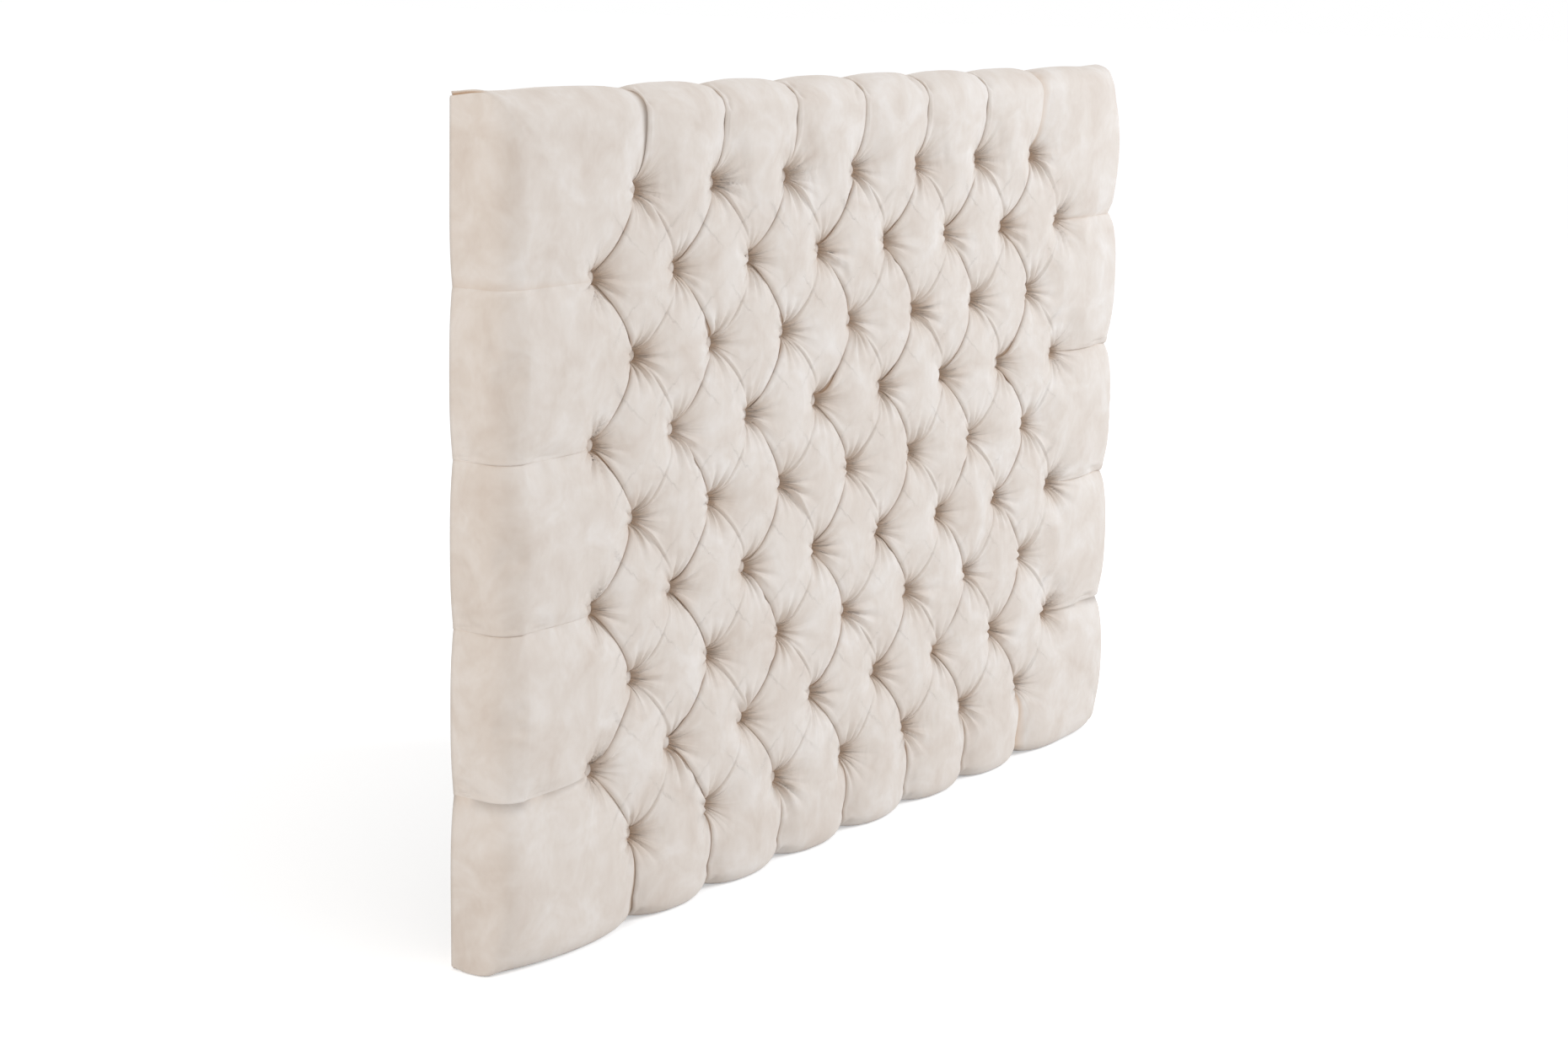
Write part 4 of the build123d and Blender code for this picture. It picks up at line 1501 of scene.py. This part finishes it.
@dataclass
class BackCloth:
    """Black spunbond cloth stapled over the back, open round the inserts.

    It sags by a millimetre or so away from its border, in ripples: each has a share of the sag, a
    period, and a wander with a period of its own.
    """

    half_x: float = 860.2
    low_z: float = 39.8
    high_z: float = 1180.2
    front_y: float = 49.4
    thickness: float = 0.6
    sag: float = 0.9
    border: float = 60.0
    ripples_up: tuple[float, ...] = (0.28, 61.0, 1.3, 190.0)
    ripples_across: tuple[float, ...] = (0.22, 83.0, 1.1, 230.0)
    columns: int = 172
    rows: int = 114
    hole_radius: float = 13.0
    holes: tuple[Pair, ...] = ((-530.75, 250.0), (-530.75, 450.0), (530.75, 250.0), (530.75, 450.0))

    def slack(self, x: float, z: float) -> float:
        """How far the cloth sags.

        Args:
            x: The place across.
            z: The place up.

        Returns:
            The depth.
        """
        inside = min(self.half_x - abs(x), z - self.low_z, self.high_z - z)
        ripple = 0.5
        for share, period, wander, far, p, q in ((*self.ripples_up, x, z), (*self.ripples_across, z, x)):
            ripple += share * math.sin(p / period + wander * math.sin(q / far))
        return self.sag * min(inside / self.border, 1.0) * ripple

    def build(self, cloth: Material) -> None:
        """Makes the cloth.

        Args:
            cloth: Its material.
        """
        width, height = 2 * self.half_x, self.high_z - self.low_z
        bm = bmesh.new()
        turn = Matrix.Rotation(-math.pi / 2, 4, "X")
        bmesh.ops.create_grid(bm, x_segments=self.columns, y_segments=self.rows, size=0.5, matrix=turn)
        bmesh.ops.scale(bm, verts=bm.verts, vec=(width * MM, 1, height * MM))
        middle = (0, (self.front_y + self.thickness) * MM, (self.low_z + self.high_z) / 2 * MM)
        bmesh.ops.translate(bm, verts=bm.verts, vec=middle)
        for vert in bm.verts:
            vert.co.y -= self.slack(vert.co.x / MM, vert.co.z / MM) * MM
        bmesh.ops.recalc_face_normals(bm, faces=bm.faces)
        if next(iter(bm.faces)).normal.y < 0:
            bmesh.ops.reverse_faces(bm, faces=bm.faces)
        sheet = to_scene("back_cloth_flat", to_mesh(bm, "back_cloth_flat"))
        bm = bmesh.new()
        radius = self.hole_radius * MM
        for x, z in self.holes:
            at = Matrix.Translation((x * MM, self.front_y * MM, z * MM)) @ turn
            bmesh.ops.create_cone(
                bm, cap_ends=True, segments=40, radius1=radius, radius2=radius, depth=20 * MM, matrix=at
            )
        cutter = to_scene("insert_windows", to_mesh(bm, "insert_windows"))
        wall = sheet.modifiers.new("wall", "SOLIDIFY")
        wall.thickness, wall.offset = self.thickness * MM, -1
        cut = sheet.modifiers.new("windows", "BOOLEAN")
        cut.operation, cut.object, cut.solver = "DIFFERENCE", cutter, "EXACT"
        evaluated = sheet.evaluated_get(bpy.context.evaluated_depsgraph_get())
        mesh = bpy.data.meshes.new_from_object(evaluated)
        for spare in (sheet, cutter):
            bpy.data.objects.remove(spare)
        made = Piece("black_back_cloth", ("back_sheet",), "back_cloth", cloth).add(mesh)


class Fittings:
    """The frame's timber and hardware, which keep their CAD shapes."""

    def dress(self) -> None:
        """Gives each CAD node its material."""
        along_x, along_z = (0.06, 1.0, 1.0), (1.0, 1.0, 0.06)
        finishes = (
            (
                Pine(name="pine_rails", stretch=along_x),
                ("bottom_rail", "top_rail", "centre_cross_rail", "left_cross_rail", "right_cross_rail"),
            ),
            (
                Pine(name="pine_stiles", stretch=along_z),
                ("left_stile", "right_stile", "left_inner_stile", "right_inner_stile"),
            ),
            (Plywood(), ("corner_blocks", "front_board")),
            (
                ZincSteel(),
                (
                    "frame_screws", "board_screws", "corner_block_screws", "bracket_inserts", "foot_screws",
                    "cover_staples", "back_sheet_staples", "button_backs",
                ),
            ),
            (MouldedPlastic(), ("feet", "twine_washers")),
            (Twine(), ("button_twines",)),
        )
        for finish, names in finishes:
            material = finish.make()
            for name in names:
                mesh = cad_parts[name].data
                mesh.materials.clear()
                mesh.materials.append(material)
                log.info("dressed %s in %s", name, material.name)


# The studio


@dataclass(frozen=True)
class Studio:
    """A pale floor, soft lamps and the photograph's camera."""

    camera_at: Triple = (-3.9815, -2.5008, 1.389)
    right: Triple = (0.5483, -0.8361, 0.0174)
    up: Triple = (0.1448, 0.1153, 0.9827)
    forward: Triple = (0.8237, 0.5363, -0.1843)
    lens: float = 68.46
    aim: Triple = (0, 0, 0.55)
    floor_glow: float = 0.42
    floor_grey: float = 0.86
    world_light: float = 0.70

    def camera(self) -> None:
        """Sets up the camera."""
        data = bpy.data.cameras.new("photo_camera")
        data.lens, data.sensor_width, data.sensor_fit = self.lens, 36.0, "HORIZONTAL"
        data.clip_end = 200
        camera = to_scene("photo_camera", data)
        axes = Matrix((self.right, self.up, [-v for v in self.forward])).transposed()
        camera.matrix_world = Matrix.Translation(self.camera_at) @ axes.to_4x4()
        bpy.context.scene.camera = camera

    def lamp(self, name: str, at: Triple, size: float, power: float, colour: str) -> None:
        """Adds a square soft lamp that faces the headboard.

        Args:
            name: Its name.
            at: Its place.
            size: Its side.
            power: Its power in watts.
            colour: The colour of its light.
        """
        data = bpy.data.lights.new(name, "AREA")
        data.color = linear(colour)[:3]
        data.shape, data.size, data.energy = "SQUARE", size, power
        way = Vector(self.aim) - Vector(at)
        to_scene(name, data).matrix_world = Matrix.Translation(at) @ way.to_track_quat("-Z", "Y").to_matrix().to_4x4()

    def floor(self) -> None:
        """Makes the floor, which shows nearly white and keeps the headboard's shadow."""
        sheet = NodeSheet(bpy.data.materials.new("studio_floor"))
        seen = sheet.combine("MULTIPLY", sheet.add("LightPath").outputs["Is Camera Ray"], self.floor_glow)
        glow = sheet.add("Emission", {"Color": (1, 1, 1, 1), "Strength": seen})
        paint = sheet.add("BsdfDiffuse", {"Color": (*[self.floor_grey] * 3, 1)})
        both = sheet.add("AddShader", {0: paint.outputs[0], 1: glow.outputs[0]})
        sheet.add("OutputMaterial", {"Surface": both.outputs[0]})
        bm = bmesh.new()
        below = Matrix.Translation((0, 0, -0.5 * MM))
        bmesh.ops.create_grid(bm, x_segments=1, y_segments=1, size=60, matrix=below)
        mesh = to_mesh(bm, "floor")
        mesh.materials.append(sheet.owner)
        floor = to_scene("floor", mesh)

    def world(self) -> None:
        """Makes the world: white where it is seen or mirrored, and a little lower as light."""
        world = bpy.data.worlds.new("studio")
        bpy.context.scene.world = world
        sheet = NodeSheet(world)
        path = sheet.add("LightPath").outputs
        seen = path["Is Camera Ray"]
        for ray in ("Is Glossy Ray", "Is Transmission Ray"):
            seen = sheet.combine("MAXIMUM", seen, path[ray])
        level = sheet.add("MapRange", {"Value": seen, "To Min": self.world_light, "To Max": 1.0})
        back = sheet.add("Background", {"Color": (1, 1, 1, 1), "Strength": level.outputs[0]})
        sheet.add("OutputWorld", {"Surface": back.outputs[0]})

    def build(self) -> None:
        """Makes the floor, the world, the lamps and the camera."""
        self.floor()
        self.world()
        self.lamp("key_lamp", (4.3, -4.4, 3.7), 2.0, 224, "#EEF6FF")
        self.lamp("fill_lamp", (-4.6, 0.2, 2.4), 3.0, 45, "#FFF3E6")
        bpy.context.scene.view_settings.view_transform = "Standard"
        self.camera()


def main() -> None:
    """Builds the headboard's looks, piece by piece."""
    logging.basicConfig(level=logging.INFO, format="%(name)s %(message)s")
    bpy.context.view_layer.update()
    pattern = TuftPattern()
    velvet, foam = Velvet().make(), Foam().make()
    # The cover, its lining side, the wadding and the wadding's own inner face, from the front to the back
    cover = TuftedLayer(pattern, settles=True)
    coarse = TuftedLayer(
        pattern, fold_share=0.9, fan=0.2, steps=16, front_steps=10, arc_steps=6, side_steps=4, back_steps=5
    )
    lining = replace(
        coarse, seat_y=-12.4, crown=34.0, inset=8.0, low_inset=3.8, lowest=3.0, rounding=34.0,
        back_y=48.2, turn_in=32.0,
    )
    wadding = replace(
        coarse, seat_y=-8.6, crown=35.0, inset=10.0, low_inset=5.8, lowest=4.0, rounding=32.0, flare=9.0,
        back_y=41.9, turn_in=5.5,
    )
    seat = replace(
        coarse, seat_y=-7.8, crown=31.0, inset=11.5, low_inset=7.6, lowest=5.5, rounding=30.0, flare=9.0,
        back_y=41.0, turn_in=0.2,
    )
    cover.build(Piece("tufted_velvet_cover", ("velvet_cover",), "velvet", velvet), lining)
    wadding.build(Piece("wadding_layer", ("wadding",), "wadding", Wadding().make()), seat)
    FoamPad(pattern).build(foam)
    EdgePads(pattern).build(foam)
    CoveredButtons(pattern).build(velvet)
    BackCloth().build(SpunbondCloth().make())
    Fittings().dress()
    Studio().build()


if __name__ == "__main__":
    main()
